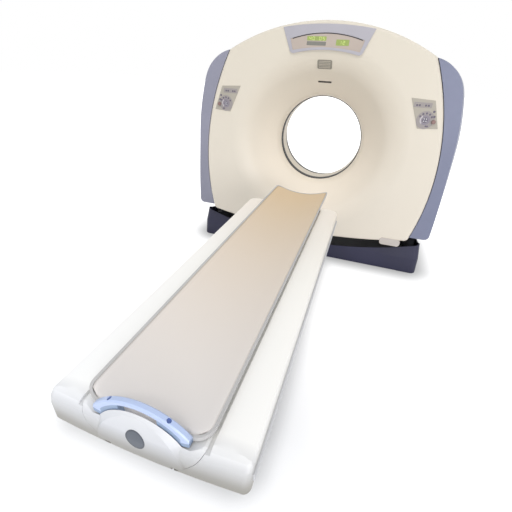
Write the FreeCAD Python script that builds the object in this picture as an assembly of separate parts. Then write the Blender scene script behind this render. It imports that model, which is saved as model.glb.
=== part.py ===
import FreeCAD, Part
import os
from math import sin, cos, radians, sqrt, pi, atan2

V = FreeCAD.Vector

# ---------------------------------------------------------------- driving sizes, millimetres
# frame: origin on the floor under the bore centre, X right, Y from the table through the bore, Z up
ISO_Z = 1040.0            # height of the bore axis and of the tilt axis

# gantry enclosure
FACE_Y = 503.0            # half depth of the enclosure at its faces
FUNNEL_R = 728.0          # mouth of both funnels
TOP_Z = ISO_Z + FUNNEL_R + 118.0        # crown of the enclosure
TOP_X = 742.0             # where the top arc meets the side covers
TOP_CORNER_Z = TOP_Z - 193.0
SEAM_MID_X = 955.0        # widest place of the seam between the front cover and a side cover
SEAM_MID_Z = 930.0
BELLY_LOW_Z = ISO_Z - FUNNEL_R - 50.0   # lowest point of the front and rear covers
BELLY_X = 865.0           # ends of their lower arc
BELLY_Z = BELLY_LOW_Z + 83.0
SEAM_LOW_X = 905.0
SEAM_LOW_Z = BELLY_Z + 39.0
COVER_T = 6.0             # wall of every moulded gantry cover
COVER_RETURN = 110.0      # how far the front and rear covers reach back
COVER_EDGE_R = 24.0
COVER_GAP = 4.0           # seam between neighbouring covers
SIDE_Y = 485.0            # half depth of the side covers
SIDE_LOW_Z = SEAM_LOW_Z + 1.0           # lower edge of the side covers
SIDE_BULGE = 59.0         # how much wider the side covers are at mid depth
SIDE_W = 135.0            # width of a side cover seen from the front, at its foot
SIDE_CORNER_R = 38.0
SIDE_STEPS = 3            # flat strips of a side cover's barrel, each way from its middle
SIDE_RISE = 0.28          # how much of the bulge also lifts the upper corner
# outer line of a side cover from the top down: share of its height, share of SIDE_W off the seam
SIDE_LINE = ((0.950, 0.716), (0.893, 0.927), (0.813, 0.906), (0.738, 0.837),
             (0.615, 0.736), (0.455, 0.626), (0.279, 0.685), (0.065, 0.979))
# share of the bulge at the upper corner and at each point of that line
SIDE_SHARE = (0.0, 0.55, 0.92, 1.12, 1.2, 1.25, 1.25, 1.12, 1.0)

# bore and funnels
BORE_R = 350.0
LINER_T = 5.0
THROAT_FRONT_Y = 165.0    # throat edge of the front cover, in front of the tilt axis
THROAT_REAR_Y = 150.0     # and of the rear cover, behind it
RING_W = 42.0             # dark ring between a cover and the liner
RING_STEP = 7.0           # how far the cover's throat edge stands back from the bore
FLARE_START_Y = -10.0     # the liner is straight to here and then opens to the rear
FLARE_R = 385.0
FUNNEL_LIP_R = 130.0
FUNNEL_EDGE_R = 260.0
FUNNEL_STEPS = 7          # short cones of each round stretch of a funnel
BACK_STEPS = 3            # the same on its hidden side

# tilting frame, posts and trunnions
POST_IN_X = 965.0
POST_OUT_X = 1030.0
POST_HALF_Y = 72.0        # half depth of a post where the side cover sweeps past
POST_TOP_HALF_Y = 135.0
SHAFT_R = 45.0
BEARING_R = 90.0
SHAFT_GAP = 0.5
ARM_OUT_X = 930.0
ARM_IN_X = 800.0
FRAME_Y0 = 170.0
FRAME_T = 30.0
FRAME_X = 800.0           # half width of the tilting frame's plate
FRAME_TOP = FUNNEL_R - 8.0              # its top over the axis
FRAME_LOW = FUNNEL_R - 48.0             # its foot under the axis
FRAME_CORNER_Z = 430.0    # where its corners are cut off
FRAME_TOP_X = 480.0
FRAME_LOW_X = 560.0

# rotor
ROTOR_Y0 = 60.0
ROTOR_T = 28.0
ROTOR_GAP = 25.0          # between the liner's flare and the scan ring
ROTOR_IN_R = FLARE_R + LINER_T + ROTOR_GAP
ROTOR_OUT_R = FUNNEL_R + 12.0
RACE_W = 40.0             # radial depth of each race of the main bearing
RACE_IN_R = ROTOR_IN_R + ROTOR_GAP
RACE_MID_R = RACE_IN_R + RACE_W
RACE_OUT_R = RACE_MID_R + RACE_W
RACE_GAP = 1.0
RACE_SHIFT = 7.0          # the outer race stands this far off the scan ring
FRAME_IN_R = RACE_MID_R - 10.0
SCAN_HALF = 60.0          # half width of the tube and detector along the bore

# gantry base
BASE_X = 1060.0
BASE_Y = 408.0
BASE_CORNER_R = 45.0
PLINTH_T = 6.0
PLINTH_LOW_Z = BELLY_LOW_Z - 137.0      # plinth height at the middle
PLINTH_END_Z = BELLY_LOW_Z + 30.0       # plinth height at its ends
PLINTH_LEAN = 28.0        # its walls lean in by this at that height
SWEEP_GAP = 15.0          # between the end walls and the side covers as they tilt past
FLOOR_GAP = 5.0
BASE_PLATE_T = 20.0
ANCHOR_D = 18.0
ANCHOR_X = 980.0
ANCHOR_Y = 300.0
END_PLATE_IN_X = 900.0
RAIL_H = 80.0
RAIL_W = 60.0
RAIL_Y = 290.0

# table body
HALF_W = 320.0            # half width of the table cover
BODY_FOOT_Y = -2873.0     # foot face at the corners
FOOT_BOW = 10.0           # how far the foot face bows out at its middle
FOOT_R = 45.0             # rounding from the foot face to the top
BODY_HEAD_Y = -1090.0
BODY_TOP_Z = 748.0        # cover height beside the cradle
SHOULDER_X = 312.0
SHOULDER_Z = 744.0
BODY_LOW_Z = 625.0
BODY_T = 5.0
CHANNEL_Z = 700.0
LOW_R = 16.0              # rounding of the cover's lower edge
LOW_TURN = 20.0           # degrees short of level where that rounding ends
BODY_CORNER_R = 22.0
BODY_HEAD_R = 45.0
CHANNEL_X = 207.0         # half width of the channel the cradle runs in
SHELF_X = 156.0           # the channel is shallow outside this
SHELF_Z = 736.0
PAN_LOW_Z = 598.0
PAN_T = 4.0
PAN_CORNER_R = 55.0
PAN_STEP = LOW_R * (1.0 - sin(radians(LOW_TURN))) + 0.5   # the pan stands this far inside the cover
PAN_TAPER = 25.0
TRIM_W = 7.0
TRIM_H = 28.0
TRIM_Z = 676.0

# cradle
CRADLE_W = 404.0
CRADLE_EDGE_Z = 776.0
CRADLE_SAG = 45.0
CRADLE_T = 14.0
MAT_T = 6.0
CRADLE_FOOT_Y = -2843.0
CRADLE_HEAD_Y = -775.0
CRADLE_CORNER_R = 45.0
HANDLE_X = 150.0          # half width of the handle's bow at HANDLE_Z
HANDLE_Z = 765.0
HANDLE_TOP_Z = 832.0      # crown of the bow
HANDLE_EDGE = 4.0         # bevel of the bow's edges
GRIP_X = 125.0            # half width under the bow at GRIP_Z
GRIP_Z = 762.0
GRIP_TOP_Z = 819.0        # crown of the bow's underside
GRIP_HALF = 60.0          # half width of the finger gap between the bow's dark pads

# table lift
LIFT_DOWN = 300.0
COLUMN_Y = (-2200.0, -1600.0)
COLUMN_R = 70.0
COLUMN_WALL = 8.0
COLUMN_GAP = 0.5
SKIRT_X = 200.0
SKIRT_Y0 = -2340.0
SKIRT_Y1 = -1460.0
SKIRT_T = 3.0
SKIRT_GAP = 5.0
TABLE_PLATE_T = 25.0
TABLE_PLATE_X = 245.0
TABLE_PLATE_OVER = 50.0
TABLE_ANCHOR_X = 224.0
TABLE_ANCHOR_IN = 60.0
BEAM_IN_X = 225.0
BEAM_OUT_X = 265.0
HEAD_PLATE_T = 5.0
DUCT_W = 120.0
DUCT_H = 28.0

MIDDLE_TOP_Z = 530.0      # top of the middle lift stage at rest
MIDDLE_LOW_Z = 185.0      # and the foot of its tubes
LIFT_LOW_TOP_Z = 330.0    # top of the lower skirt
TUBE_OVER = 25.0          # the lower tubes stand this far above it

# trims and controls on the front cover
DISPLAY_PROUD = 8.0
WINDOW_IN = 4.0
PATCH_SEAT = 0.2          # glue line under the plates that follow the funnel
GRILLE_IN = 178.0         # lower edge of the speaker grille, in from the funnel's mouth
LASER_IN = 272.0          # and of the laser window
KEYPAD_T = 3.0
KEY_H = 1.2
KEYPAD_X = SEAM_MID_X - 184.0   # middle of a keypad's ring of keys
KEYPAD_Z = ISO_Z + 268.0
KEYPAD_CORNERS = ((-126.0, 136.0), (33.0, 128.0), (98.0, -52.0), (-38.0, -61.0))
KEY_RING_R = 44.0
KEY_R = 7.5
STOP_X = KEYPAD_X + 57.0
STOP_Z = KEYPAD_Z - 8.0
STOP_R = 14.0
STOP_EDGE = 3.0
STOP_STEM_R = 8.0
STOP_GAP = 0.5
STOP_HEAD_T = 9.0
STOP_TRAVEL = 4.0

# cooling slots of the top cover
VENTS = 7
VENT_X = 250.0            # first slot off the middle
VENT_PITCH = 26.0
VENT_W = 12.0
VENT_HALF_Y = 150.0

# more of the tilting works
ARM_HALF_Y = 70.0
GEAR_R = 105.0
ARM_HALF_Z = 150.0
ARM_WALL = 25.0
ROTOR_HOLE_R = ROTOR_OUT_R - 100.0
ROTOR_HOLES = 6
TUBE_R = 0.29 * (ROTOR_OUT_R - ROTOR_IN_R)
TUBE_RIM = 45.0           # scan ring left outside the tube
FOCUS_R = ROTOR_OUT_R - TUBE_RIM - TUBE_R
DETECTOR_R = FOCUS_R + ROTOR_IN_R + 15.0   # clear of the scan ring's hole
DETECTOR_T = 70.0
DETECTOR_HALF = 27.0
SLIP_IN_R = RACE_OUT_R + 40.0
SLIP_OUT_R = SLIP_IN_R + 60.0
SLIP_T = 30.0
FAN_HALF_X = 110.0        # half width of the collimator at its mouth
PACK_FRONT_Y = -150.0     # front of what stands on the scan ring
GENERATOR_X = (ROTOR_OUT_R - 250.0, ROTOR_OUT_R - 40.0)
GENERATOR_Z = (-120.0, 200.0)
LID_IN = 20.0             # the generator's lid stands in from its edges
LID_T = 15.0
COOLER_X = (ROTOR_OUT_R - 240.0, ROTOR_OUT_R - 50.0)
COOLER_Z = (-100.0, 180.0)
COOLER_T = 120.0          # solid part behind the fins
FINS = 9
FIN_PITCH = 21.0
FIN_T = 8.0
WEIGHT_X = (300.0, 460.0)
WEIGHT_Z = (410.0, 550.0)
WEIGHT_T = 130.0
DAS_HALF_X = 300.0        # read-out electronics under the detector
DAS_H = 140.0

# table foot, cradle guides and handle seat
NOSE_LOW_X = 98.0         # half width of the nose at its lower edge
NOSE_MID = (166.0, 695.0)  # a point of its curved sides
NOSE_SIDE_Z = 765.0
NOSE_GAP = 1.5
NOSE_DEPTH = 75.0
NOSE_TOP_GAP = 8.0
NOSE_TOP_Z = 745.0
DOME_Z = 650.0            # centre of the nose's round dome
DOME_R = 155.0            # its radius where it is thickest, at DOME_BACK_Y
DOME_BACK_Y = -2866.0
DOME_FORWARD = 4.0        # the dome's face swells out by this at DOME_SWELL_Z
DOME_SWELL_Z = 700.0
DOME_LEAN = 12.0          # and leans back by this at its crown
NOTCH_X = 112.0
NOTCH_H = 23.0
RAIL_X0 = 120.0
SADDLE_W = 27.0           # the head-end saddles reach this far in from the cradle's edges
SADDLE_IN = 2.0
CRADLE_RAIL_H = 12.0
GUIDE_Y0 = BODY_FOOT_Y + NOSE_DEPTH + 10.0
CARRIAGE_L = 220.0
CARRIAGE_X = 150.0
MAT_IN = 8.0
CAP_HALF = 150.0
CAP_T = 20.0
PLUG_X = 92.0
PLUG_R = 7.0

OUT = "parts"


# ---------------------------------------------------------------- small helpers
def box(x0, x1, y0, y1, z0, z1):
    return Part.makeBox(x1 - x0, y1 - y0, z1 - z0, V(x0, y0, z0))


def rod(r, p, d, h):
    return Part.makeCylinder(r, h, V(*p), V(*d))


def tube(r_in, r_out, p, d, h):
    return rod(r_out, p, d, h).cut(rod(r_in, p, d, h))


def line(a, b):
    return Part.LineSegment(a, b).toShape()


def arc(a, m, b):
    return Part.Arc(a, m, b).toShape()


def face(edges):
    return Part.Face(Part.Wire(Part.__sortEdges__(edges)))


def loop(points):
    return Part.Face(Part.makePolygon(points + [points[0]]))


def along(f, x, y, z):
    return f.extrude(V(x, y, z))


def mirror_x(s):
    return s.mirror(V(0, 0, 0), V(1, 0, 0))


def mirror_y(s):
    return s.mirror(V(0, 0, 0), V(0, 1, 0))


def solid_of(s):
    s = s.removeSplitter()
    best = max(s.Solids, key=lambda q: q.Volume)
    return best


def save(name, shapes):
    group = shapes if isinstance(shapes, list) else [shapes]
    solids = [q for s in group for q in s.Solids]
    out = solids[0] if len(solids) == 1 else Part.makeCompound(solids)
    out.exportStep(os.path.join(OUT, name + ".step"))


def circle3(a, m, b):
    # centre and radius of the circle through three points given as (x, z)
    ax, az = a
    mx, mz = m
    bx, bz = b
    d = 2.0 * (ax * (mz - bz) + mx * (bz - az) + bx * (az - mz))
    sa = ax * ax + az * az
    sm = mx * mx + mz * mz
    sb = bx * bx + bz * bz
    cx = (sa * (mz - bz) + sm * (bz - az) + sb * (az - mz)) / d
    cz = (sa * (bx - mx) + sm * (ax - bx) + sb * (mx - ax)) / d
    return cx, cz, sqrt((ax - cx) ** 2 + (az - cz) ** 2)


def on_circle(c, x=None, z=None, right=True, upper=True, grow=0.0):
    cx, cz, r = c
    r = r + grow
    if x is None:
        w = sqrt(r * r - (z - cz) ** 2)
        return cx + w if right else cx - w
    w = sqrt(r * r - (x - cx) ** 2)
    return cz + w if upper else cz - w


TOP = circle3((-TOP_X, TOP_CORNER_Z), (0.0, TOP_Z), (TOP_X, TOP_CORNER_Z))
SEAM = circle3((TOP_X, TOP_CORNER_Z), (SEAM_MID_X, SEAM_MID_Z), (SEAM_LOW_X, SEAM_LOW_Z))
BELLY = circle3((-BELLY_X, BELLY_Z), (0.0, BELLY_LOW_Z), (BELLY_X, BELLY_Z))


# ---------------------------------------------------------------- enclosure covers
def cover_face(inset, y):
    # outline of the front and rear covers, pulled in by inset
    top = (TOP[0], TOP[1], TOP[2] - inset)
    seam = (SEAM[0], SEAM[1], SEAM[2] - inset)
    belly = (BELLY[0], BELLY[1], BELLY[2] - inset)
    xt = TOP_X - inset
    zt = on_circle(top, x=xt)
    for _ in range(30):
        xt = on_circle(seam, z=zt)
        zt = on_circle(top, x=xt)
    zl = SEAM_LOW_Z
    xl = on_circle(seam, z=zl)
    xb = BELLY_X
    zb = on_circle(belly, x=xb, upper=False)
    zm = SEAM_MID_Z
    xm = on_circle(seam, z=zm)
    corner_x = BELLY_X + 0.72 * (xl - xb)
    corner_z = zb + 0.28 * (zl - zb)
    edges = [
        arc(V(-xt, y, zt), V(0, y, TOP_Z - inset), V(xt, y, zt)),
        arc(V(xt, y, zt), V(xm, y, zm), V(xl, y, zl)),
        arc(V(xl, y, zl), V(corner_x, y, corner_z), V(xb, y, zb)),
        arc(V(xb, y, zb), V(0, y, BELLY_LOW_Z + inset), V(-xb, y, zb)),
        arc(V(-xb, y, zb), V(-corner_x, y, corner_z), V(-xl, y, zl)),
        arc(V(-xl, y, zl), V(-xm, y, zm), V(-xt, y, zt)),
    ]
    return face(edges)


def funnel_angle(throat_r, throat_y):
    # angle of the straight cone between the throat lip and the mouth edge
    lo = radians(10.0)
    hi = radians(85.0)
    for _ in range(60):
        p = 0.5 * (lo + hi)
        dr = (FUNNEL_R - FUNNEL_EDGE_R * cos(p)) - (throat_r + FUNNEL_LIP_R * (1 - cos(p)))
        dy = (FACE_Y - FUNNEL_EDGE_R * (1 - sin(p))) - (throat_y + FUNNEL_LIP_R * sin(p))
        if dr * cos(p) - dy * sin(p) > 0:
            lo = p
        else:
            hi = p
    return p


def funnel_line(throat_r, throat_y, back, steps):
    # (radius, y) points of a funnel's visible line for back = 0, of its inner line for back = wall
    p = funnel_angle(throat_r, throat_y)
    a = FUNNEL_LIP_R - back
    b = FUNNEL_EDGE_R - back
    pts = []
    for i in range(steps + 1):
        t = p * i / steps
        pts.append((throat_r + FUNNEL_LIP_R - a * cos(t), -(throat_y + a * sin(t))))
    for i in range(steps + 1):
        t = p + (pi / 2 - p) * i / steps
        pts.append((FUNNEL_R - b * cos(t), -(FACE_Y - FUNNEL_EDGE_R + b * sin(t))))
    return pts


def revolve_y(points):
    # closed outline given as (radius, y), turned about the bore axis
    f = loop([V(0, y, ISO_Z + r) for r, y in points])
    return f.revolve(V(0, 0, ISO_Z), V(0, 1, 0), 360)


def funnel_skin(throat_r, throat_y):
    seen = funnel_line(throat_r, throat_y, 0.0, FUNNEL_STEPS)
    back = funnel_line(throat_r, throat_y, COVER_T, BACK_STEPS)
    return revolve_y(seen + back[::-1])


def rounded_slab(inset):
    # the cover's outline carried back from the face, with its front edge rounded in short steps
    r = COVER_EDGE_R
    wires = []
    for k in (90.0, 45.0, 0.0) if inset else (90.0, 67.5, 45.0, 22.5, 0.0):
        back = r * (1.0 - sin(radians(k)))
        wires.append(cover_face(r * (1.0 - cos(radians(k))) + inset, -FACE_Y + back + inset).OuterWire)
    wires.append(cover_face(inset, -FACE_Y + COVER_RETURN).OuterWire)
    return Part.makeLoft(wires, True, True)


def end_cover(throat_r, throat_y):
    # a cover as the front one: outline shell, mouth and funnel
    shell = rounded_slab(0.0).cut(rounded_slab(COVER_T))
    shell = shell.cut(rod(FUNNEL_R, (0, -FACE_Y - 10, ISO_Z), (0, 1, 0), COVER_RETURN + 50))
    return solid_of(shell.fuse(funnel_skin(throat_r, throat_y)))


def side_points(grow, inset):
    # outer line of a side cover from its upper corner down, grow = extra half width at mid height
    height = TOP_CORNER_Z - SIDE_LOW_Z
    top_z = TOP_CORNER_Z - COVER_GAP
    base = [(on_circle(SEAM, z=top_z, grow=COVER_GAP), top_z)]
    for up, out in SIDE_LINE:
        z = SIDE_LOW_Z + up * height
        base.append((on_circle(SEAM, z=z) + out * SIDE_W, z))
    most = max(SIDE_SHARE)
    pts = []
    for (x, z), s in zip(base, SIDE_SHARE):
        rise = SIDE_RISE * (1.0 - abs(2.0 * s / most - 1.0)) if z > ISO_Z + 0.25 * ISO_Z else 0.0
        pts.append((x + grow * s, z + grow * rise))
    if inset == 0.0:
        return pts
    out = []
    for i, (x, z) in enumerate(pts):
        a = pts[max(i - 1, 0)]
        b = pts[min(i + 1, len(pts) - 1)]
        tx = b[0] - a[0]
        tz = b[1] - a[1]
        n = sqrt(tx * tx + tz * tz)
        out.append((x + inset * tz / n, z - inset * tx / n))
    return out


def side_wire(y, grow, inset):
    pts = side_points(grow, inset)
    outer = Part.BSplineCurve()
    outer.interpolate([V(x, y, z) for x, z in pts])
    x0, z0 = pts[0]
    x1, z1 = pts[-1]
    if inset == 0.0:
        g = COVER_GAP
        low = SIDE_LOW_Z
        xs = on_circle(SEAM, z=low, grow=g)
        corner = SIDE_CORNER_R
        xc = x1 - corner
        edges = [outer.toShape(),
                 line(V(x1, y, z1), V(x1, y, low + corner)),
                 arc(V(x1, y, low + corner), V(x1 - 0.293 * corner, y, low + 0.293 * corner), V(xc, y, low)),
                 line(V(xc, y, low), V(xs, y, low)),
                 arc(V(xs, y, low), V(on_circle(SEAM, z=SEAM_MID_Z, grow=g), y, SEAM_MID_Z), V(x0, y, z0))]
        return Part.Wire(edges)
    low = SIDE_LOW_Z - 60.0
    x_in = 0.8 * TOP_X
    edges = [outer.toShape(),
             line(V(x1, y, z1), V(x1, y, low)),
             line(V(x1, y, low), V(x_in, y, low)),
             line(V(x_in, y, low), V(x_in, y, z0)),
             line(V(x_in, y, z0), V(x0, y, z0))]
    return Part.Wire(edges)


def side_loft(inset, reach):
    # barrel between -reach and reach, widest at the middle
    wires = []
    for i in range(-SIDE_STEPS, SIDE_STEPS + 1):
        share = i / SIDE_STEPS
        wires.append(side_wire(reach * share, SIDE_BULGE * (1.0 - share * share), inset))
    return Part.makeLoft(wires, True, True)


def side_void():
    inner = side_loft(COVER_T, SIDE_Y)
    far = 2.0 * TOP_Z
    return inner.common(box(0, far, -SIDE_Y + COVER_T, SIDE_Y - COVER_T, 0, far))


def side_cover():
    return solid_of(side_loft(0.0, SIDE_Y).cut(side_void()))


def strip_cover(z0, z1):
    # the enclosure's outline between the end covers, from one height to another
    y = FACE_Y - COVER_RETURN - COVER_GAP
    band = along(cover_face(0.0, -y).cut(cover_face(COVER_T, -y)), 0, 2 * y, 0)
    return solid_of(band.common(box(-BASE_X, BASE_X, -y, y, z0, z1)))


def top_cover():
    # arched lid with a row of cooling slots on each side
    body = strip_cover(TOP_CORNER_Z, 2 * TOP_Z)
    for side in (-1, 1):
        for i in range(VENTS):
            x = side * (VENT_X + VENT_PITCH * i)
            w = VENT_W / 2
            body = body.cut(box(x - w, x + w, -VENT_HALF_Y, VENT_HALF_Y, TOP_CORNER_Z, 2 * TOP_Z))
    return body


def funnel_void(throat_r, throat_y):
    # everything in front of the visible funnel
    seen = funnel_line(throat_r, throat_y, 0.0, FUNNEL_STEPS)
    front = -FACE_Y - 40.0
    return revolve_y(seen + [(FUNNEL_R, front), (0.0, front), (0.0, -throat_y)])


def front_body():
    # the front cover as if it were filled: what trims on its face are fitted to
    return rounded_slab(0.0).cut(funnel_void(BORE_R + RING_STEP, THROAT_FRONT_Y))


def funnel_patch(f, proud):
    # a plate that follows the front funnel, cut to the outline f
    under = funnel_line(BORE_R + RING_STEP, THROAT_FRONT_Y, -PATCH_SEAT, FUNNEL_STEPS)
    over = funnel_line(BORE_R + RING_STEP, THROAT_FRONT_Y, -proud, FUNNEL_STEPS)
    return solid_of(revolve_y(under + over[::-1]).common(along(f, 0, FACE_Y, 0)))


def rounded_xz(x0, x1, z0, z1, r, y):
    q = 0.293 * r
    return face([
        line(V(x0 + r, y, z0), V(x1 - r, y, z0)),
        arc(V(x1 - r, y, z0), V(x1 - q, y, z0 + q), V(x1, y, z0 + r)),
        line(V(x1, y, z0 + r), V(x1, y, z1 - r)),
        arc(V(x1, y, z1 - r), V(x1 - q, y, z1 - q), V(x1 - r, y, z1)),
        line(V(x1 - r, y, z1), V(x0 + r, y, z1)),
        arc(V(x0 + r, y, z1), V(x0 + q, y, z1 - q), V(x0, y, z1 - r)),
        line(V(x0, y, z1 - r), V(x0, y, z0 + r)),
        arc(V(x0, y, z0 + r), V(x0 + q, y, z0 + q), V(x0 + r, y, z0)),
    ])


def rounded_xy(x0, x1, y0, y1, r0, r1, z, bow=0.0):
    # plan outline, corner radius r0 at the y0 end and r1 at the y1 end; the y0 end may bow out
    p = 0.293 * r0
    q = 0.293 * r1
    a = V(x0 + r0, y0, z)
    b = V(x1 - r0, y0, z)
    return face([
        arc(a, V(0.5 * (x0 + x1), y0 - bow, z), b) if bow else line(a, b),
        arc(b, V(x1 - p, y0 + p, z), V(x1, y0 + r0, z)),
        line(V(x1, y0 + r0, z), V(x1, y1 - r1, z)),
        arc(V(x1, y1 - r1, z), V(x1 - q, y1 - q, z), V(x1 - r1, y1, z)),
        line(V(x1 - r1, y1, z), V(x0 + r1, y1, z)),
        arc(V(x0 + r1, y1, z), V(x0 + q, y1 - q, z), V(x0, y1 - r1, z)),
        line(V(x0, y1 - r1, z), V(x0, y0 + r0, z)),
        arc(V(x0, y0 + r0, z), V(x0 + p, y0 + p, z), a),
    ])


def display_edges(y):
    # front view of the display frame: straight sides, arched top and bottom
    top = TOP_Z - 48.0
    low = TOP_Z - 180.0
    tl = V(-320, y, top)
    tm = V(0, y, top + 24)
    tr = V(320, y, top)
    br = V(264, y, low)
    brc = V(250, y, low - 20)
    bre = V(226, y, low - 23)
    bm = V(0, y, low + 3)
    ble = V(-226, y, low - 23)
    blc = V(-250, y, low - 20)
    bl = V(-264, y, low)
    return [arc(tl, tm, tr), line(tr, br), arc(br, brc, bre),
            arc(bre, bm, ble), arc(ble, blc, bl), line(bl, tl)]


def display_window_face(y):
    top = TOP_Z - 116.0
    low = TOP_Z - 186.0
    tl = V(-262, y, top)
    tm = V(0, y, top + 41)
    tr = V(262, y, top)
    br = V(240, y, low)
    bm = V(0, y, low + 24)
    bl = V(-240, y, low)
    return face([arc(tl, tm, tr), line(tr, br), arc(br, bm, bl), line(bl, tl)])


def display_frame(body):
    block = along(face(display_edges(-FACE_Y - DISPLAY_PROUD)), 0, 45, 0)
    block = block.cut(along(display_window_face(-FACE_Y - 20.0), 0, 80, 0))
    return solid_of(block.cut(body))


def display_window(body):
    block = along(display_window_face(-FACE_Y - DISPLAY_PROUD + WINDOW_IN), 0, 40, 0)
    return solid_of(block.cut(body))


def keypad_point(side, x, z, y):
    # a point given from the middle of a keypad's ring of keys
    return V(side * (KEYPAD_X + x), y, KEYPAD_Z + z)


def keypad(side):
    y = -FACE_Y
    plate = along(loop([keypad_point(side, x, z, y) for x, z in KEYPAD_CORNERS]), 0, -KEYPAD_T, 0)
    top = y - KEYPAD_T
    keys = []
    for x, z, w, h in ((-69.0, 94.0, 17.0, 8.0), (-11.0, 92.0, 17.0, 8.0), (19.0, -40.0, 11.0, 6.0)):
        p = keypad_point(side, x, z, top)
        keys.append(box(p.x - w, p.x + w, top - KEY_H, top, p.z - h, p.z + h))
    rounds = [(0.0, 0.0, 19.0), (KEY_RING_R, 58.0, 8.5)]
    for i in range(5):
        a = radians(150.0 - 30.0 * i)
        rounds.append((KEY_RING_R * cos(a), KEY_RING_R * sin(a), KEY_R))
    for x, z, r in rounds:
        keys.append(rod(r, keypad_point(side, x, z, top), (0, -1, 0), KEY_H))
    for k in keys:
        plate = plate.fuse(k)
    return solid_of(plate.cut(stop_hole(side)))


def stop_hole(side):
    # way of a stop button's stem through its keypad and the front cover
    return rod(STOP_STEM_R + STOP_GAP, (side * STOP_X, -FACE_Y - 20, STOP_Z), (0, 1, 0), 40)


def stop_button(side):
    # round head with a bevelled rim on a stem
    back = -FACE_Y - KEYPAD_T - STOP_TRAVEL - 1.0
    front = back - STOP_HEAD_T
    end = COVER_T + 10.0 - FACE_Y
    e = STOP_EDGE
    pts = [(0, front), (STOP_R - e, front), (STOP_R - 0.3 * e, front + 0.3 * e), (STOP_R, front + e),
           (STOP_R, back), (STOP_STEM_R, back), (STOP_STEM_R, end), (0, end)]
    axis = V(side * STOP_X, 0, STOP_Z)
    f = loop([V(axis.x + r, y, axis.z) for r, y in pts])
    return solid_of(f.revolve(axis, V(0, 1, 0), 360))


def latch_plate(body):
    x1 = BELLY_X - 19.0
    z1 = BELLY_Z + 7.0
    f = rounded_xz(x1 - 166.0, x1, z1 - 62.0, z1, 24.0, -FACE_Y - 5.0)
    return solid_of(along(f, 0, 24, 0).cut(body))


# ---------------------------------------------------------------- bore, tilting frame and rotor
def bore_liner():
    y0 = -THROAT_FRONT_Y + RING_W
    y1 = THROAT_REAR_Y - RING_W
    t = LINER_T
    return revolve_y([(BORE_R, y0), (BORE_R, FLARE_START_Y), (FLARE_R, y1),
                      (FLARE_R + t, y1), (BORE_R + t, FLARE_START_Y), (BORE_R + t, y0)])


def throat_ring(radius, y):
    r = radius + 1.0
    return tube(r, radius + RING_STEP + COVER_T, (0, y, ISO_Z), (0, 1, 0), RING_W)


def tilt_frame():
    x = FRAME_X
    c = FRAME_CORNER_Z
    right = [(x, -c), (x, c), (FRAME_TOP_X, FRAME_TOP)]
    left = [(-FRAME_TOP_X, FRAME_TOP), (-x, c), (-x, -c)]
    low = [(-FRAME_LOW_X, -FRAME_LOW), (FRAME_LOW_X, -FRAME_LOW)]
    plate = along(loop([V(a, FRAME_Y0, ISO_Z + b) for a, b in right + left + low]), 0, FRAME_T, 0)
    plate = plate.cut(rod(FRAME_IN_R, (0, FRAME_Y0 - 5, ISO_Z), (0, 1, 0), FRAME_T + 10))
    for side in (-1, 1):
        x0, x1 = sorted((side * ARM_IN_X, side * ARM_OUT_X))
        arm = box(x0, x1, -ARM_HALF_Y, FRAME_Y0 + FRAME_T, ISO_Z - ARM_HALF_Z, ISO_Z + ARM_HALF_Z)
        t = ARM_WALL
        z = ARM_HALF_Z - t
        pocket = box(x0 + t, x1 - t, t - ARM_HALF_Y, FRAME_Y0, ISO_Z - z, ISO_Z + z)
        plate = plate.fuse(arm.cut(pocket))
    return solid_of(plate)


def trunnion(side):
    flange = rod(SHAFT_R + 35, (side * ARM_OUT_X, 0, ISO_Z), (side, 0, 0), 20)
    shaft = rod(SHAFT_R, (side * ARM_OUT_X, 0, ISO_Z), (side, 0, 0), POST_OUT_X - ARM_OUT_X + 2)
    return solid_of(flange.fuse(shaft))


def tilt_bearing(side):
    return tube(SHAFT_R + SHAFT_GAP, BEARING_R, (side * POST_IN_X, 0, ISO_Z), (side, 0, 0),
                POST_OUT_X - POST_IN_X)


def tilt_gearmotor():
    ring = tube(SHAFT_R + 20, GEAR_R, (-POST_OUT_X, 0, ISO_Z), (-1, 0, 0), 12)
    drum = rod(GEAR_R, (-POST_OUT_X - 12, 0, ISO_Z), (-1, 0, 0), 26)
    cap = rod(GEAR_R - 30, (-POST_OUT_X - 38, 0, ISO_Z), (-1, 0, 0), 8)
    lead = box(-POST_OUT_X - 34, -POST_OUT_X - 14, -28, 28, ISO_Z - GEAR_R - 40, ISO_Z - GEAR_R + 8)
    return solid_of(ring.fuse(drum).fuse(cap).fuse(lead))


def standoffs():
    out = []
    reach = FACE_Y - COVER_T
    for x, z in ((700, 440), (-700, 440), (690, -440), (-690, -440)):
        out.append(rod(12, (x, -reach, ISO_Z + z), (0, 1, 0), FRAME_Y0 + reach))
        out.append(rod(12, (x, FRAME_Y0 + FRAME_T, ISO_Z + z), (0, 1, 0), reach - FRAME_Y0 - FRAME_T))
    return out


def cover_brackets():
    # bars from the tilting frame out to the side, top and belly covers
    y0 = FRAME_Y0
    y1 = FRAME_Y0 + FRAME_T
    void = side_void()
    out = []
    for side in (-1, 1):
        bar = box(FRAME_X, 2 * FRAME_X, y0, y1, ISO_Z + 330, ISO_Z + 400).common(void)
        out.append(solid_of(bar if side > 0 else mirror_x(bar)))
    roof = rod(TOP[2] - COVER_T, (TOP[0], y0 - 10, TOP[1]), (0, 1, 0), FRAME_T + 20)
    out.append(solid_of(box(-60, 60, y0, y1, ISO_Z + FRAME_TOP, TOP_Z).common(roof)))
    floor = rod(BELLY[2] - COVER_T, (BELLY[0], y0 - 10, BELLY[1]), (0, 1, 0), FRAME_T + 20)
    out.append(solid_of(box(-60, 60, y0, y1, BELLY_LOW_Z, ISO_Z - FRAME_LOW).common(floor)))
    return out


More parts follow.
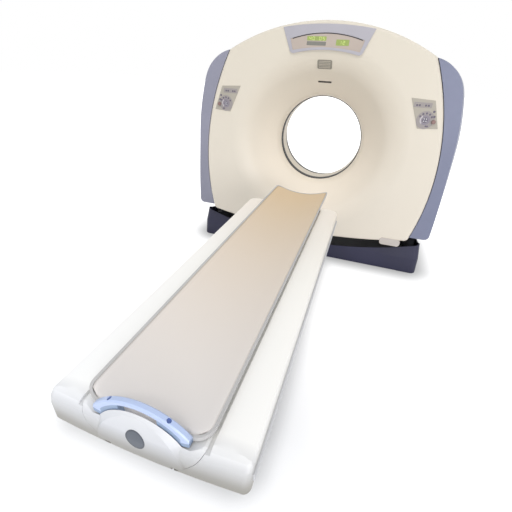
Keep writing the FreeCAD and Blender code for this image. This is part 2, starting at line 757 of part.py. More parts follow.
def rotor_ring():
    ring = tube(ROTOR_IN_R, ROTOR_OUT_R, (0, ROTOR_Y0, ISO_Z), (0, 1, 0), ROTOR_T)
    for i in range(ROTOR_HOLES):
        a = 2 * pi * (i + 0.5) / ROTOR_HOLES
        hole = rod(22, (ROTOR_HOLE_R * cos(a), ROTOR_Y0 - 5, ISO_Z + ROTOR_HOLE_R * sin(a)), (0, 1, 0), 50)
        ring = ring.cut(hole)
    return ring


def xray_tube():
    z = ISO_Z + FOCUS_R
    body = rod(TUBE_R, (0, -110, z), (0, 1, 0), ROTOR_Y0 + 110)
    nose = rod(TUBE_R - 30, (0, -150, z), (0, 1, 0), 40)
    foot = box(-60, 60, -SCAN_HALF, ROTOR_Y0, z - TUBE_R - 8, z - TUBE_R + 30)
    return solid_of(body.fuse(nose).fuse(foot))


def collimator():
    z1 = ISO_Z + FOCUS_R - TUBE_R - 8
    z0 = ISO_Z + RACE_IN_R - 5
    y = -SCAN_HALF
    f = loop([V(-60, y, z1), V(60, y, z1), V(FAN_HALF_X, y, z0), V(-FAN_HALF_X, y, z0)])
    body = along(f, 0, SCAN_HALF + ROTOR_Y0, 0)
    slit = box(-40, 40, -6, 6, z0 - 5, z1 + 5)
    return solid_of(body.cut(slit))


def detector_arc():
    z = ISO_Z + FOCUS_R
    half = radians(DETECTOR_HALF)
    ends = []
    for r in (DETECTOR_R, DETECTOR_R + DETECTOR_T):
        ends.append((V(-r * sin(half), -SCAN_HALF - 10, z - r * cos(half)), V(0, -SCAN_HALF - 10, z - r),
                     V(r * sin(half), -SCAN_HALF - 10, z - r * cos(half))))
    a, b = ends
    f = face([arc(*a), arc(*b), line(a[0], b[0]), line(a[2], b[2])])
    fan = along(f, 0, SCAN_HALF + 10 + ROTOR_Y0, 0)
    low = z - DETECTOR_R - DETECTOR_T
    electronics = box(-DAS_HALF_X, DAS_HALF_X, -SCAN_HALF - 50, ROTOR_Y0, low - DAS_H, low + 30)
    electronics = electronics.cut(rod(DETECTOR_R + DETECTOR_T, (0, -200, z), (0, 1, 0), 400))
    return solid_of(fan.fuse(electronics))


def hv_generator():
    x0, x1 = GENERATOR_X
    z0, z1 = GENERATOR_Z
    k = LID_IN
    body = box(x0, x1, PACK_FRONT_Y, ROTOR_Y0, ISO_Z + z0, ISO_Z + z1)
    lid = box(x0 + k, x1 - k, PACK_FRONT_Y - LID_T, PACK_FRONT_Y, ISO_Z + z0 + k, ISO_Z + z1 - k)
    return solid_of(body.fuse(lid))


def heat_exchanger():
    # finned block on the other side of the scan ring
    x1 = -COOLER_X[0]
    x0 = -COOLER_X[1]
    z0 = ISO_Z + COOLER_Z[0]
    z1 = ISO_Z + COOLER_Z[1]
    y = ROTOR_Y0 - COOLER_T
    body = box(x0, x1, y, ROTOR_Y0, z0, z1)
    for i in range(FINS):
        x = x0 + FIN_T + FIN_PITCH * i
        body = body.fuse(box(x, x + FIN_T, PACK_FRONT_Y, y, z0 + 10, z1 - 10))
    return solid_of(body)


def counterweights():
    out = []
    for side in (-1, 1):
        x0, x1 = sorted((side * WEIGHT_X[0], side * WEIGHT_X[1]))
        out.append(box(x0, x1, ROTOR_Y0 - WEIGHT_T, ROTOR_Y0, ISO_Z + WEIGHT_Z[0], ISO_Z + WEIGHT_Z[1]))
    return out


def slip_ring():
    return tube(SLIP_IN_R, SLIP_OUT_R, (0, ROTOR_Y0 + ROTOR_T, ISO_Z), (0, 1, 0), SLIP_T)


def brush_block():
    y0 = ROTOR_Y0 + ROTOR_T + SLIP_T + 1.0
    r = 0.5 * (SLIP_IN_R + SLIP_OUT_R)
    return box(-50, 50, y0, FRAME_Y0, ISO_Z + r - 30, ISO_Z + r + 30)


# ---------------------------------------------------------------- gantry base
def plinth_block(inset):
    # plan of the base carried up, upright past the base plates and then leaning in towards the top
    levels = ((FLOOR_GAP, 0.0), (BASE_PLATE_T, 0.0), (0.5 * PLINTH_END_Z, 0.2 * PLINTH_LEAN),
              (PLINTH_END_Z, PLINTH_LEAN), (1.2 * PLINTH_END_Z, 1.4 * PLINTH_LEAN))
    wires = []
    for z, lean in levels:
        k = inset + lean
        r = BASE_CORNER_R - inset
        wires.append(rounded_xy(-BASE_X + k, BASE_X - k, -BASE_Y + k, BASE_Y - k, r, r, z).OuterWire)
    return Part.makeLoft(wires, True, True)


def plinth():
    # closed wall round the base, low in the middle so that the tilting covers sweep past
    wall = plinth_block(0.0).cut(plinth_block(PLINTH_T))
    x = BASE_X + 1
    y = -BASE_Y - 1
    side = face([line(V(-x, y, 0), V(x, y, 0)), line(V(x, y, 0), V(x, y, PLINTH_END_Z)),
                 arc(V(x, y, PLINTH_END_Z), V(0, y, PLINTH_LOW_Z), V(-x, y, PLINTH_END_Z)),
                 line(V(-x, y, PLINTH_END_Z), V(-x, y, 0))])
    wall = wall.common(along(side, 0, 2 * BASE_Y + 2, 0))
    sweep = sqrt(SIDE_Y ** 2 + (ISO_Z - SIDE_LOW_Z) ** 2) + SWEEP_GAP
    return wall.cut(rod(sweep, (-x, 0, ISO_Z), (1, 0, 0), 2 * x))


def plinth_half(front):
    y0 = -BASE_Y - 10 if front else 0
    x = BASE_X + 10
    return solid_of(plinth().common(box(-x, x, y0, y0 + BASE_Y + 10, 0, 2 * PLINTH_END_Z)))


def gantry_base_frame():
    t = PLINTH_T
    r = BASE_CORNER_R - t
    inside = along(rounded_xy(-BASE_X + t, BASE_X - t, -BASE_Y + t, BASE_Y - t, r, r, 0), 0, 0, 200)
    out = None
    for side in (-1, 1):
        x0, x1 = sorted((side * END_PLATE_IN_X, side * (BASE_X + 5)))
        plate = box(x0, x1, -BASE_Y - 5, BASE_Y + 5, 0, BASE_PLATE_T).common(inside)
        for y in (-ANCHOR_Y, ANCHOR_Y):
            plate = plate.cut(rod(ANCHOR_D / 2, (side * ANCHOR_X, y, -5), (0, 0, 1), BASE_PLATE_T + 10))
        out = plate if out is None else out.fuse(plate)
    for side in (-1, 1):
        y0, y1 = sorted((side * RAIL_Y, side * (RAIL_Y + RAIL_W)))
        out = out.fuse(box(-END_PLATE_IN_X, END_PLATE_IN_X, y0, y1, 0, RAIL_H))
    out = out.fuse(box(-END_PLATE_IN_X, END_PLATE_IN_X, -RAIL_Y, RAIL_Y, 0, 8))
    return solid_of(out)


def post(side):
    z0 = BASE_PLATE_T
    h = POST_HALF_Y
    t = POST_TOP_HALF_Y
    foot = BELLY_LOW_Z - 92.0
    left = [(200, z0), (200, foot), (h, foot + 35), (h, SIDE_LOW_Z + 35), (t - 25, ISO_Z - 380),
            (t, ISO_Z - 60), (t, ISO_Z)]
    x = side * POST_IN_X
    pts = [V(x, -a, b) for a, b in left]
    edges = [line(p, q) for p, q in zip(pts, pts[1:])]
    edges += [line(V(x, a[0], a[1]), V(x, b[0], b[1])) for a, b in zip(left, left[1:])]
    edges.append(arc(V(x, -t, ISO_Z), V(x, 0, ISO_Z + t), V(x, t, ISO_Z)))
    edges.append(line(V(x, -200, z0), V(x, 200, z0)))
    body = along(face(edges), side * (POST_OUT_X - POST_IN_X), 0, 0)
    hole = rod(BEARING_R, (x - side * 5, 0, ISO_Z), (side, 0, 0), POST_OUT_X - POST_IN_X + 10)
    return solid_of(body.cut(hole))


def floor_duct():
    y0 = SKIRT_Y1 + TABLE_PLATE_OVER
    w = DUCT_W / 2
    f = loop([V(-w, y0, 0), V(w, y0, 0), V(w - 14, y0, DUCT_H), V(-w + 14, y0, DUCT_H)])
    return along(f, 0, -BASE_Y - y0, 0)


# ---------------------------------------------------------------- table
def table_plate():
    o = TABLE_PLATE_OVER
    x = TABLE_PLATE_X
    plate = along(rounded_xy(-x, x, SKIRT_Y0 - o, SKIRT_Y1 + o, 20, 20, 0), 0, 0, TABLE_PLATE_T)
    for y in (SKIRT_Y0 + TABLE_ANCHOR_IN, SKIRT_Y1 - TABLE_ANCHOR_IN):
        for side in (-1, 1):
            hole = rod(ANCHOR_D / 2, (side * TABLE_ANCHOR_X, y, -5), (0, 0, 1), TABLE_PLATE_T + 10)
            plate = plate.cut(hole)
    return plate


def skirt(step, z0, z1):
    # rectangular sleeve, step 0 is the outermost
    k = step * (SKIRT_T + SKIRT_GAP)
    t = SKIRT_T
    r = 30.0 - k
    outer = along(rounded_xy(-SKIRT_X + k, SKIRT_X - k, SKIRT_Y0 + k, SKIRT_Y1 - k, r, r, z0), 0, 0, z1 - z0)
    inner = along(rounded_xy(-SKIRT_X + k + t, SKIRT_X - k - t, SKIRT_Y0 + k + t, SKIRT_Y1 - k - t,
                             r - t, r - t, z0 - 1), 0, 0, z1 - z0 + 2)
    return outer.cut(inner)


def columns(stage, z0, z1):
    # the pair of telescoping tubes of one stage, 0 fixed to the floor plate, 2 carrying the table
    w = COLUMN_WALL
    r1 = COLUMN_R - stage * (w + COLUMN_GAP)
    return [tube(r1 - w, r1, (0, y, z0), (0, 0, 1), z1 - z0) for y in COLUMN_Y]


def middle_skirt():
    sleeve = skirt(1, TABLE_PLATE_T + 5 + LIFT_DOWN / 2, MIDDLE_TOP_Z)
    k = SKIRT_T + SKIRT_GAP
    x = SKIRT_X - k
    web = along(rounded_xy(-x, x, SKIRT_Y0 + k, SKIRT_Y1 - k, 22, 22, MIDDLE_TOP_Z - 6), 0, 0, 6)
    r = COLUMN_R - COLUMN_WALL - COLUMN_GAP
    for y in COLUMN_Y:
        web = web.cut(rod(r, (0, y, MIDDLE_TOP_Z - 10), (0, 0, 1), 20))
    return solid_of(sleeve.fuse(web))


def body_profile(inset, y):
    # cross section of the table cover with the stepped cradle channel; inset 0 outside, wall inside
    k = inset
    low = BODY_LOW_Z - (20 if k else 0)
    w = HALF_W - k
    sx = SHOULDER_X - 0.5 * k
    sz = SHOULDER_Z - k
    cx = CHANNEL_X + k
    hx = SHELF_X + k
    tz = BODY_TOP_Z - k
    hz = SHELF_Z - k
    cz = CHANNEL_Z - k
    edges = []
    for s in (1, -1):
        edges.append(line(V(s * hx, y, cz), V(s * hx, y, hz)))
        edges.append(line(V(s * hx, y, hz), V(s * cx, y, hz)))
        edges.append(line(V(s * cx, y, hz), V(s * cx, y, tz)))
        edges.append(arc(V(s * cx, y, tz), V(s * 0.5 * (cx + sx), y, 0.5 * (tz + sz) + 4), V(s * sx, y, sz)))
        edges.append(arc(V(s * sx, y, sz), V(s * (w - 3.6), y, sz - 7.0), V(s * w, y, sz - 17.0)))
        edges.append(line(V(s * w, y, sz - 17.0), V(s * w, y, low)))
    edges.append(line(V(-hx, y, cz), V(hx, y, cz)))
    edges.append(line(V(-w, y, low), V(w, y, low)))
    return face(edges)


def body_levels(inset):
    # (height, pull-in all round, lean of the foot face) from the lower edge to over the top
    out = []
    for t in (LOW_TURN, 55.0, 90.0):
        a = radians(t)
        out.append((BODY_LOW_Z + LOW_R * (cos(radians(LOW_TURN)) - cos(a)), LOW_R * (1.0 - sin(a)), 0.0))
    if inset:
        out.insert(0, (BODY_LOW_Z - 20, out[0][1], 0.0))
    r = FOOT_R - inset
    for t in (0.0, 30.0, 60.0, 80.0):
        a = radians(t)
        out.append((BODY_TOP_Z - FOOT_R + r * sin(a), 0.0, r * (1.0 - cos(a))))
    out.append((out[-1][0] + 10.0, 0.0, out[-1][2] + 10.0 / cos(a) * sin(a)))
    return out


def body_plan(inset, z, pull, lean):
    # plan of the table cover at one height
    k = inset + pull
    w = HALF_W - k
    return rounded_xy(-w, w, BODY_FOOT_Y + lean + k, BODY_HEAD_Y - k,
                      BODY_CORNER_R - 0.9 * k, BODY_HEAD_R - k, z, FOOT_BOW)


def body_loft(inset):
    wires = [body_plan(inset, z, pull, lean).OuterWire for z, pull, lean in body_levels(inset)]
    return Part.makeLoft(wires, True, True)


def body_block(inset):
    section = along(body_profile(inset, BODY_FOOT_Y - 20), 0, BODY_HEAD_Y - BODY_FOOT_Y + 40, 0)
    return section.common(body_loft(inset))


def nose_outline(gap, y):
    # front view of the nose, gap smaller all round
    x = CHANNEL_X - gap
    b = NOSE_LOW_X - gap
    z0 = BODY_LOW_Z
    top = GRIP_TOP_Z
    mid = (NOSE_MID[0] - gap, NOSE_MID[1])
    return face([
        line(V(-b, y, z0), V(b, y, z0)),
        arc(V(b, y, z0), V(mid[0], y, mid[1]), V(x, y, NOSE_SIDE_Z)),
        line(V(x, y, NOSE_SIDE_Z), V(x, y, top)),
        line(V(x, y, top), V(-x, y, top)),
        line(V(-x, y, top), V(-x, y, NOSE_SIDE_Z)),
        arc(V(-x, y, NOSE_SIDE_Z), V(-mid[0], y, mid[1]), V(-b, y, z0)),
    ])


def trough(extra):
    # centre height and radius of the cradle's top surface, grown downward by extra
    half = CRADLE_W / 2
    r = (half * half + CRADLE_SAG * CRADLE_SAG) / (2 * CRADLE_SAG)
    return CRADLE_EDGE_Z - CRADLE_SAG + r, r + extra


def body_cover():
    body = body_block(0.0).cut(body_block(BODY_T))
    cut = along(nose_outline(0.0, BODY_FOOT_Y - 20), 0, NOSE_DEPTH + 20 + NOSE_GAP, 0)
    return solid_of(body.cut(cut))


def dome_block():
    # face of the round dome on the nose: swells out, then leans back to the crown
    wires = []
    w = CHANNEL_X
    crown = DOME_Z + DOME_R
    low = BODY_LOW_Z + LOW_R
    side = FOOT_BOW * (w / HALF_W) ** 2
    rising = [DOME_SWELL_Z + k * (crown - DOME_SWELL_Z) for k in (0.25, 0.5, 0.75, 1.05)]
    for z in [low, 0.5 * (low + DOME_SWELL_Z), DOME_SWELL_Z] + rising:
        reach = crown - DOME_SWELL_Z if z > DOME_SWELL_Z else DOME_SWELL_Z - low
        rise = DOME_LEAN + DOME_FORWARD if z > DOME_SWELL_Z else DOME_FORWARD
        y = BODY_FOOT_Y - FOOT_BOW - DOME_FORWARD + rise * ((z - DOME_SWELL_Z) / reach) ** 2
        back = BODY_FOOT_Y + NOSE_DEPTH
        wires.append(Part.Wire([
            arc(V(-w, y + side, z), V(0, y, z), V(w, y + side, z)),
            line(V(w, y + side, z), V(w, back, z)),
            line(V(w, back, z), V(-w, back, z)),
            line(V(-w, back, z), V(-w, y + side, z)),
        ]))
    block = Part.makeLoft(wires, True, True)
    d = 30.0
    cone = Part.makeCone(DOME_R - d, DOME_R + d, 2 * d, V(0, DOME_BACK_Y - d, DOME_Z), V(0, 1, 0))
    return block.common(cone)


def nose_cover():
    # end piece of the table between the cradle channel's sides, its dome hiding the cradle's end
    y0 = BODY_FOOT_Y - 40.0
    y1 = BODY_FOOT_Y + NOSE_DEPTH
    block = body_loft(0.0).fuse(dome_block())
    block = block.common(along(nose_outline(NOSE_GAP, y0), 0, y1 - y0, 0))
    over = box(-CHANNEL_X, CHANNEL_X, y0, y1 + 5, NOSE_TOP_Z, TOP_Z)
    block = block.cut(over.cut(rod(DOME_R + 30.0, (0, y0 - 5, DOME_Z), (0, 1, 0), DOME_BACK_Y - y0 + 5)))
    cz, r = trough(CRADLE_T + NOSE_TOP_GAP)
    block = block.cut(rod(r, (0, DOME_BACK_Y, cz), (0, 1, 0), 2 * NOSE_DEPTH))
    block = block.cut(box(-90, 90, DOME_BACK_Y + 6, y1 + 5, BODY_LOW_Z + 6, CHANNEL_Z))
    for side in (-1, 1):
        x = side * NOTCH_X
        block = block.cut(box(x - 14, x + 14, y0, BODY_FOOT_Y + 14, BODY_LOW_Z - 5, BODY_LOW_Z + NOTCH_H))
    return solid_of(block)


def pan_block(inset0, z0, inset1, z1):
    wires = []
    for inset, z in ((inset0, z0), (inset1, z1)):
        w = HALF_W - inset
        r = PAN_CORNER_R - inset
        wires.append(rounded_xy(-w, w, BODY_FOOT_Y + inset, BODY_HEAD_Y - inset, r, r, z, FOOT_BOW).OuterWire)
    return Part.makeLoft(wires, True, True)


def under_pan():
    # tray under the table cover, open above and round the upper skirt
    s = PAN_STEP
    t = PAN_T
    z0 = PAN_LOW_Z
    z1 = BODY_LOW_Z
    floor_in = s + PAN_TAPER * (z1 - z0 - t) / (z1 - z0) + t
    pan = pan_block(s + PAN_TAPER, z0, s, z1).cut(pan_block(floor_in, z0 + t, s + t, z1 + 0.001))
    w = SKIRT_T
    hole = along(rounded_xy(-SKIRT_X + w, SKIRT_X - w, SKIRT_Y0 + w, SKIRT_Y1 - w, 27, 27, z0 - 5), 0, 0, 20)
    return solid_of(pan.cut(hole))


def side_trim(side):
    x0, x1 = sorted((side * HALF_W, side * (HALF_W + TRIM_W)))
    y0 = BODY_FOOT_Y + BODY_CORNER_R + 2
    y1 = BODY_HEAD_Y - BODY_HEAD_R - 10
    strip = box(x0, x1, y0, y1, TRIM_Z, TRIM_Z + TRIM_H)
    far = side * (HALF_W + TRIM_W)
    edges = [e for e in strip.Edges if abs(e.BoundBox.Center.x - far) < 0.01]
    return strip.makeFillet(TRIM_W * 0.6, edges)


def table_beams():
    z0 = PAN_LOW_Z + PAN_T
    z1 = CHANNEL_Z - BODY_T - HEAD_PLATE_T
    out = None
    for side in (-1, 1):
        x0, x1 = sorted((side * BEAM_IN_X, side * BEAM_OUT_X))
        beam = box(x0, x1, BODY_FOOT_Y + 150, BODY_HEAD_Y - 60, z0, z1)
        core = box(x0 + 4, x1 - 4, BODY_FOOT_Y + 149, BODY_HEAD_Y - 59, z0 + 4, z1 - 4)
        beam = beam.cut(core)
        out = beam if out is None else out.fuse(beam)
    plate = box(-BEAM_OUT_X, BEAM_OUT_X, SKIRT_Y0 + 10, SKIRT_Y1 - 10, z1, z1 + HEAD_PLATE_T)
    return solid_of(out.fuse(plate))


def cradle_rail(side):
    x0, x1 = sorted((side * RAIL_X0, side * (RAIL_X0 + 25.0)))
    return box(x0, x1, GUIDE_Y0, BODY_HEAD_Y - 10, CHANNEL_Z, CHANNEL_Z + CRADLE_RAIL_H)


def cradle_saddle():
    cz, r = trough(CRADLE_T + 0.5)
    out = []
    for side in (-1, 1):
        x0, x1 = sorted((side * (CRADLE_W / 2 - SADDLE_W), side * (CRADLE_W / 2 - SADDLE_IN)))
        y0 = BODY_HEAD_Y - 70
        block = box(x0, x1, y0, BODY_HEAD_Y - 10, SHELF_Z, CRADLE_EDGE_Z)
        out.append(solid_of(block.cut(rod(r, (0, y0 - 10, cz), (0, 1, 0), 100))))
    return out


def trough_band(r0, r1, half, y, length):
    cz = trough(0.0)[0]
    pts = []
    for r in (r0, r1):
        z = cz - sqrt(r * r - half * half)
        pts.append((V(-half, y, z), V(0, y, cz - r), V(half, y, z)))
    a, b = pts
    f = face([arc(*a), arc(*b), line(a[0], b[0]), line(a[2], b[2])])
    return along(f, 0, length, 0)


def cradle_mat():
    r = trough(0.0)[1]
    k = MAT_IN
    half = CRADLE_W / 2 - k
    y0 = CRADLE_FOOT_Y + k
    band = trough_band(r, r + MAT_T, half, y0, CRADLE_HEAD_Y - k - y0)
    c = CRADLE_CORNER_R - k
    plan = along(rounded_xy(-half, half, y0, CRADLE_HEAD_Y - k, c, c, 600), 0, 0, 300)
    return solid_of(band.common(plan))


def cradle_board():
    r = trough(0.0)[1]
    half = CRADLE_W / 2
    band = trough_band(r, r + CRADLE_T, half, CRADLE_FOOT_Y, CRADLE_HEAD_Y - CRADLE_FOOT_Y)
    c = CRADLE_CORNER_R
    plan = along(rounded_xy(-half, half, CRADLE_FOOT_Y, CRADLE_HEAD_Y, c, c, 600), 0, 0, 300)
    return solid_of(band.common(plan).cut(cradle_mat()))


def bow_disc(x, z, top, y, length):
    # round bar whose crown is at top and whose surface passes (x, z)
    cz, r = circle3((-x, z), (0.0, top), (x, z))[1:]
    return rod(r, (0, y, cz), (0, 1, 0), length)


def cradle_end_cap():
    # closes the board's end and carries a pad under each foot of the handle
    y = CRADLE_FOOT_Y - CAP_T
    cz, r = trough(0.0)
    cap = trough_band(r, r + CRADLE_T, CAP_HALF, y, CAP_T)
    room = bow_disc(GRIP_X, GRIP_Z, GRIP_TOP_Z, y, CAP_T).common(rod(r, (0, y, cz), (0, 1, 0), CAP_T))
    for side in (-1, 1):
        x0, x1 = sorted((side * GRIP_HALF, side * GRIP_X))
        cap = cap.fuse(room.common(box(x0, x1, y, y + CAP_T, CHANNEL_Z, GRIP_TOP_Z)))
    return solid_of(cap)


def cradle_handle():
    # bow over the cradle's foot end, standing on the end cap
    y = CRADLE_FOOT_Y - CAP_T
    x = HANDLE_X
    cz, r = trough(0.0)
    outer = bow_disc(x, HANDLE_Z, HANDLE_TOP_Z, y, CAP_T)
    outer = outer.common(box(-x, x, y, y + CAP_T, CHANNEL_Z, HANDLE_TOP_Z))
    inner = bow_disc(GRIP_X, GRIP_Z, GRIP_TOP_Z, y - 5, CAP_T + 10)
    inner = inner.common(box(-GRIP_X, GRIP_X, y - 5, y + CAP_T + 5, CHANNEL_Z, GRIP_TOP_Z))
    bar = solid_of(outer.cut(inner))
    rims = [e for e in bar.Edges if e.BoundBox.ZMax > HANDLE_TOP_Z - 0.1 and e.BoundBox.YLength < 0.01]
    bar = bar.makeChamfer(HANDLE_EDGE, rims)
    bar = bar.common(rod(r, (0, y - 5, cz), (0, 1, 0), CAP_T + 10))
    for side in (-1, 1):
        bar = bar.cut(handle_pin(side, 8.0))
    return solid_of(bar)


def handle_pin(side, depth):
    # plug seat square to the bow's outer face, above each foot
    cz, r = circle3((-HANDLE_X, HANDLE_Z), (0.0, HANDLE_TOP_Z), (HANDLE_X, HANDLE_Z))[1:]
    a = atan2(PLUG_X, sqrt(r * r - PLUG_X * PLUG_X))
    y = CRADLE_FOOT_Y - CAP_T / 2
    p = (side * sin(a) * (r - 8.0), y, cz + cos(a) * (r - 8.0))
    return rod(PLUG_R, p, (side * sin(a), 0, cos(a)), depth)


def handle_plugs():
    return [handle_pin(-1, 5.0), handle_pin(1, 5.0)]


def cradle_carriage():
    cz, r = trough(CRADLE_T)
    z0 = CHANNEL_Z + CRADLE_RAIL_H + 0.3
    y0 = GUIDE_Y0
    block = box(-CARRIAGE_X, CARRIAGE_X, y0, y0 + CARRIAGE_L, z0, CRADLE_EDGE_Z)
    return solid_of(block.cut(rod(r, (0, y0 - 10, cz), (0, 1, 0), CARRIAGE_L + 20)))


# ---------------------------------------------------------------- build
def tilting_covers():
    body = front_body()
    front = end_cover(BORE_R + RING_STEP, THROAT_FRONT_Y)
    for side in (-1, 1):
        front = front.cut(stop_hole(side))
    save("front_cover", solid_of(front))
    save("rear_cover", mirror_y(end_cover(FLARE_R + RING_STEP, THROAT_REAR_Y)))
    side = side_cover()
    save("side_cover_right", side)
    save("side_cover_left", mirror_x(side))
    save("top_cover", top_cover())
    save("belly_cover", strip_cover(0.0, SIDE_LOW_Z - COVER_GAP))
    save("display_frame", display_frame(body))
    save("display_window", display_window(body))
    save("speaker_grille", speaker_grille())
    z = ISO_Z + FUNNEL_R - LASER_IN
    save("laser_window", funnel_patch(rounded_xz(-53, 53, z, z + 12, 5.9, -FACE_Y), 1.5))
    save("latch_plate", latch_plate(body))
    for n, s in (("left", -1), ("right", 1)):
        save("keypad_" + n, keypad(s))
        save("stop_button_" + n, stop_button(s))


def speaker_grille():
    low = ISO_Z + FUNNEL_R - GRILLE_IN
    plate = funnel_patch(rounded_xz(-54, 54, low, low + 58, 10, -FACE_Y), 3.0)
    for i in range(5):
        z = low + 10.0 + 9.5 * i
        plate = plate.cut(box(-42, 42, -FACE_Y - 20, 0, z - 2, z + 2))
    return solid_of(plate)


def tilting_works():
    save("bore_liner", bore_liner())
    save("throat_ring_front", throat_ring(BORE_R, -THROAT_FRONT_Y))
    save("throat_ring_rear", throat_ring(FLARE_R, THROAT_REAR_Y - RING_W))
    save("tilt_frame", tilt_frame())
    save("trunnions", [trunnion(-1), trunnion(1)])
    save("cover_mounts", standoffs() + cover_brackets())
    save("main_bearing_outer", tube(RACE_MID_R + RACE_GAP / 2, RACE_OUT_R,
                                    (0, ROTOR_Y0 + ROTOR_T + RACE_SHIFT, ISO_Z), (0, 1, 0),
                                    FRAME_Y0 - ROTOR_Y0 - ROTOR_T - RACE_SHIFT))
    save("brush_block", brush_block())


def rotor():
    save("rotor_ring", rotor_ring())
    save("main_bearing_inner", tube(RACE_IN_R, RACE_MID_R - RACE_GAP / 2,
                                    (0, ROTOR_Y0 + ROTOR_T, ISO_Z), (0, 1, 0), 62))
    save("xray_tube", xray_tube())
    save("collimator", collimator())
    save("detector_arc", detector_arc())
    save("hv_generator", hv_generator())
    save("heat_exchanger", heat_exchanger())
    save("counterweights", counterweights())
    save("slip_ring", slip_ring())


def base():
    save("gantry_base_frame", gantry_base_frame())
    save("plinth_front", plinth_half(True))
    save("plinth_rear", plinth_half(False))
    for n, s in (("left", -1), ("right", 1)):
        save("post_" + n, post(s))
    save("tilt_bearings", [tilt_bearing(-1), tilt_bearing(1)])
    save("tilt_gearmotor", tilt_gearmotor())
    save("floor_duct", floor_duct())


def table():
    z = TABLE_PLATE_T
    save("table_floor_plate", table_plate())
    save("skirt_lower", skirt(2, z, LIFT_LOW_TOP_Z))
    save("lift_tubes_lower", columns(0, z, LIFT_LOW_TOP_Z + TUBE_OVER))
    save("skirt_middle", middle_skirt())
    save("lift_tubes_middle", columns(1, MIDDLE_LOW_Z, MIDDLE_TOP_Z))
    save("skirt_upper", skirt(0, z + 5 + LIFT_DOWN, PAN_LOW_Z))
    save("lift_tubes_upper", columns(2, MIDDLE_LOW_Z + LIFT_DOWN / 2, CHANNEL_Z - BODY_T - HEAD_PLATE_T))
    save("table_cover", body_cover())
    save("table_under_pan", under_pan())
    save("table_beams", table_beams())
    save("nose_cover", nose_cover())
    save("side_trims", [side_trim(-1), side_trim(1)])
    save("cradle_guides", [cradle_rail(-1), cradle_rail(1)] + cradle_saddle())
    save("cradle_board", cradle_board())
    save("cradle_mat", cradle_mat())
    save("cradle_end_cap", cradle_end_cap())
    save("cradle_handle", cradle_handle())
    save("handle_plugs", handle_plugs())
    save("cradle_carriage", cradle_carriage())


def main():
    os.makedirs("parts", exist_ok=True)
    tilting_covers()
    tilting_works()
    rotor()
    base()
    table()


main()
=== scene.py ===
import bpy
import bmesh
import numpy as np
from math import sin, cos, pi, radians, sqrt
from mathutils import Matrix, Vector

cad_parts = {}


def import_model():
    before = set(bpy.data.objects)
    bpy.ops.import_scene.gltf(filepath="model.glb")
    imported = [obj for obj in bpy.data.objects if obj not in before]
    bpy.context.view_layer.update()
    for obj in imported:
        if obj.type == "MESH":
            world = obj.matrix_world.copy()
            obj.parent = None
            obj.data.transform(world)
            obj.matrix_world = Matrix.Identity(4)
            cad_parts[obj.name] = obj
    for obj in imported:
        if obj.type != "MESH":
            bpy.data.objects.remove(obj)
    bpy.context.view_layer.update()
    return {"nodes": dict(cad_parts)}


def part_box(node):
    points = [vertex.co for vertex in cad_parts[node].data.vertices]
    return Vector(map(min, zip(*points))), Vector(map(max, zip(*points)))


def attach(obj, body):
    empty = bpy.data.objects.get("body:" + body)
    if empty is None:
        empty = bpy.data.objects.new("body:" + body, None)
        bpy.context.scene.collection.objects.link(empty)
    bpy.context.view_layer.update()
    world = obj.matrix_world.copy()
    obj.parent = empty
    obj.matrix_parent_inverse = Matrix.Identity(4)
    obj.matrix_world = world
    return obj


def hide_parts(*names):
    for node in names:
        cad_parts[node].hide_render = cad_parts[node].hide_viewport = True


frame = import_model()
NODES = frame["nodes"]

# ---------------------------------------------------------------- camera, fitted to the photo
CAMERA_AT = (0.43103, -3.26822, 1.59773)
CAMERA_TURN = (0.3057, 0.5300, 0.0510)  # azimuth, downward tilt and roll, radians
PHOTO_PIXELS = 512.0
FOCAL_PIXELS = 326.64
SENSOR_MM = 36.0
FAR_CLIP = 60.0

# ---------------------------------------------------------------- light
# name, place, target, size, watts, colour
LIGHTS = (
    ("key", (0.8, -7.0, 8.0), (0.0, -1.4, 0.8), (4.5, 4.5), 268.0, (1.0, 0.98, 0.94)),
    ("fill", (4.5, -9.0, 1.8), (0.0, -1.0, 0.8), (3.5, 3.0), 200.0, (0.97, 0.97, 1.0)),
    ("back", (0.0, 2.8, 3.6), (0.0, 0.0, 1.0), (4.0, 2.0), 30.0, (1.0, 0.96, 0.88)),
)
SKY_COLOR = (0.92, 0.95, 1.0, 1.0)
SKY = (0.68, 1.05)        # strength of the soft light from the sides and behind, and from the front

# ---------------------------------------------------------------- floor
FLOOR_HALF = 30.0
FLOOR_Z = -0.0005
FLOOR_BOUNCE = 0.75       # how much light the floor sends back
FLOOR_WHITE = 0.95        # its own white where it is seen
GLOW_STRENGTH = 1.5       # plain white that is mixed into it where it is seen
GLOW = (0.3, 0.62)        # share of that white at the table's foot and by the gantry
GLOW_Y = (-2.3, -1.4)     # where these two shares are reached
GLOW_MIDDLE = (0.0, -1.5, 0.0)
GLOW_FADE = (1.8, 3.4)    # distances from there between which the floor turns plain white
# painted shadow on the floor, a soft grey: X and Y reach, edge of the fade inside and outside them,
# darkest grey
TABLE_PAINTED_SHADOW = ((-0.79, 0.25), (-2.61, -0.5), -0.05, 0.11, 0.6)
PLINTH_PAINTED_SHADOW = (-0.03, 0.24, 0.40)
SHADE_CORNER = 0.12       # corner radius of both

# ---------------------------------------------------------------- places and sizes, metres
ISO = 1.040               # height of the bore axis
FACE = -0.503             # plane of the gantry's face
PAD_FACE = FACE - 0.003   # top of the keypad plates
FOOT = -2.873             # lower edge of the table's foot face
BEVEL = 0.0004            # on the edges of key caps and number windows

DOME_FRONT = FOOT - 0.014   # most forward line of the round dome on the foot
DOME_MIDDLE = 0.700         # height of that line
DOME_UP = (0.016, 0.105)    # how far the dome leans back above it, and over what height
DOME_DOWN = (0.004, 0.059)  # the same below it
DOME_SIDE = (0.010, 0.320)  # the same to either side

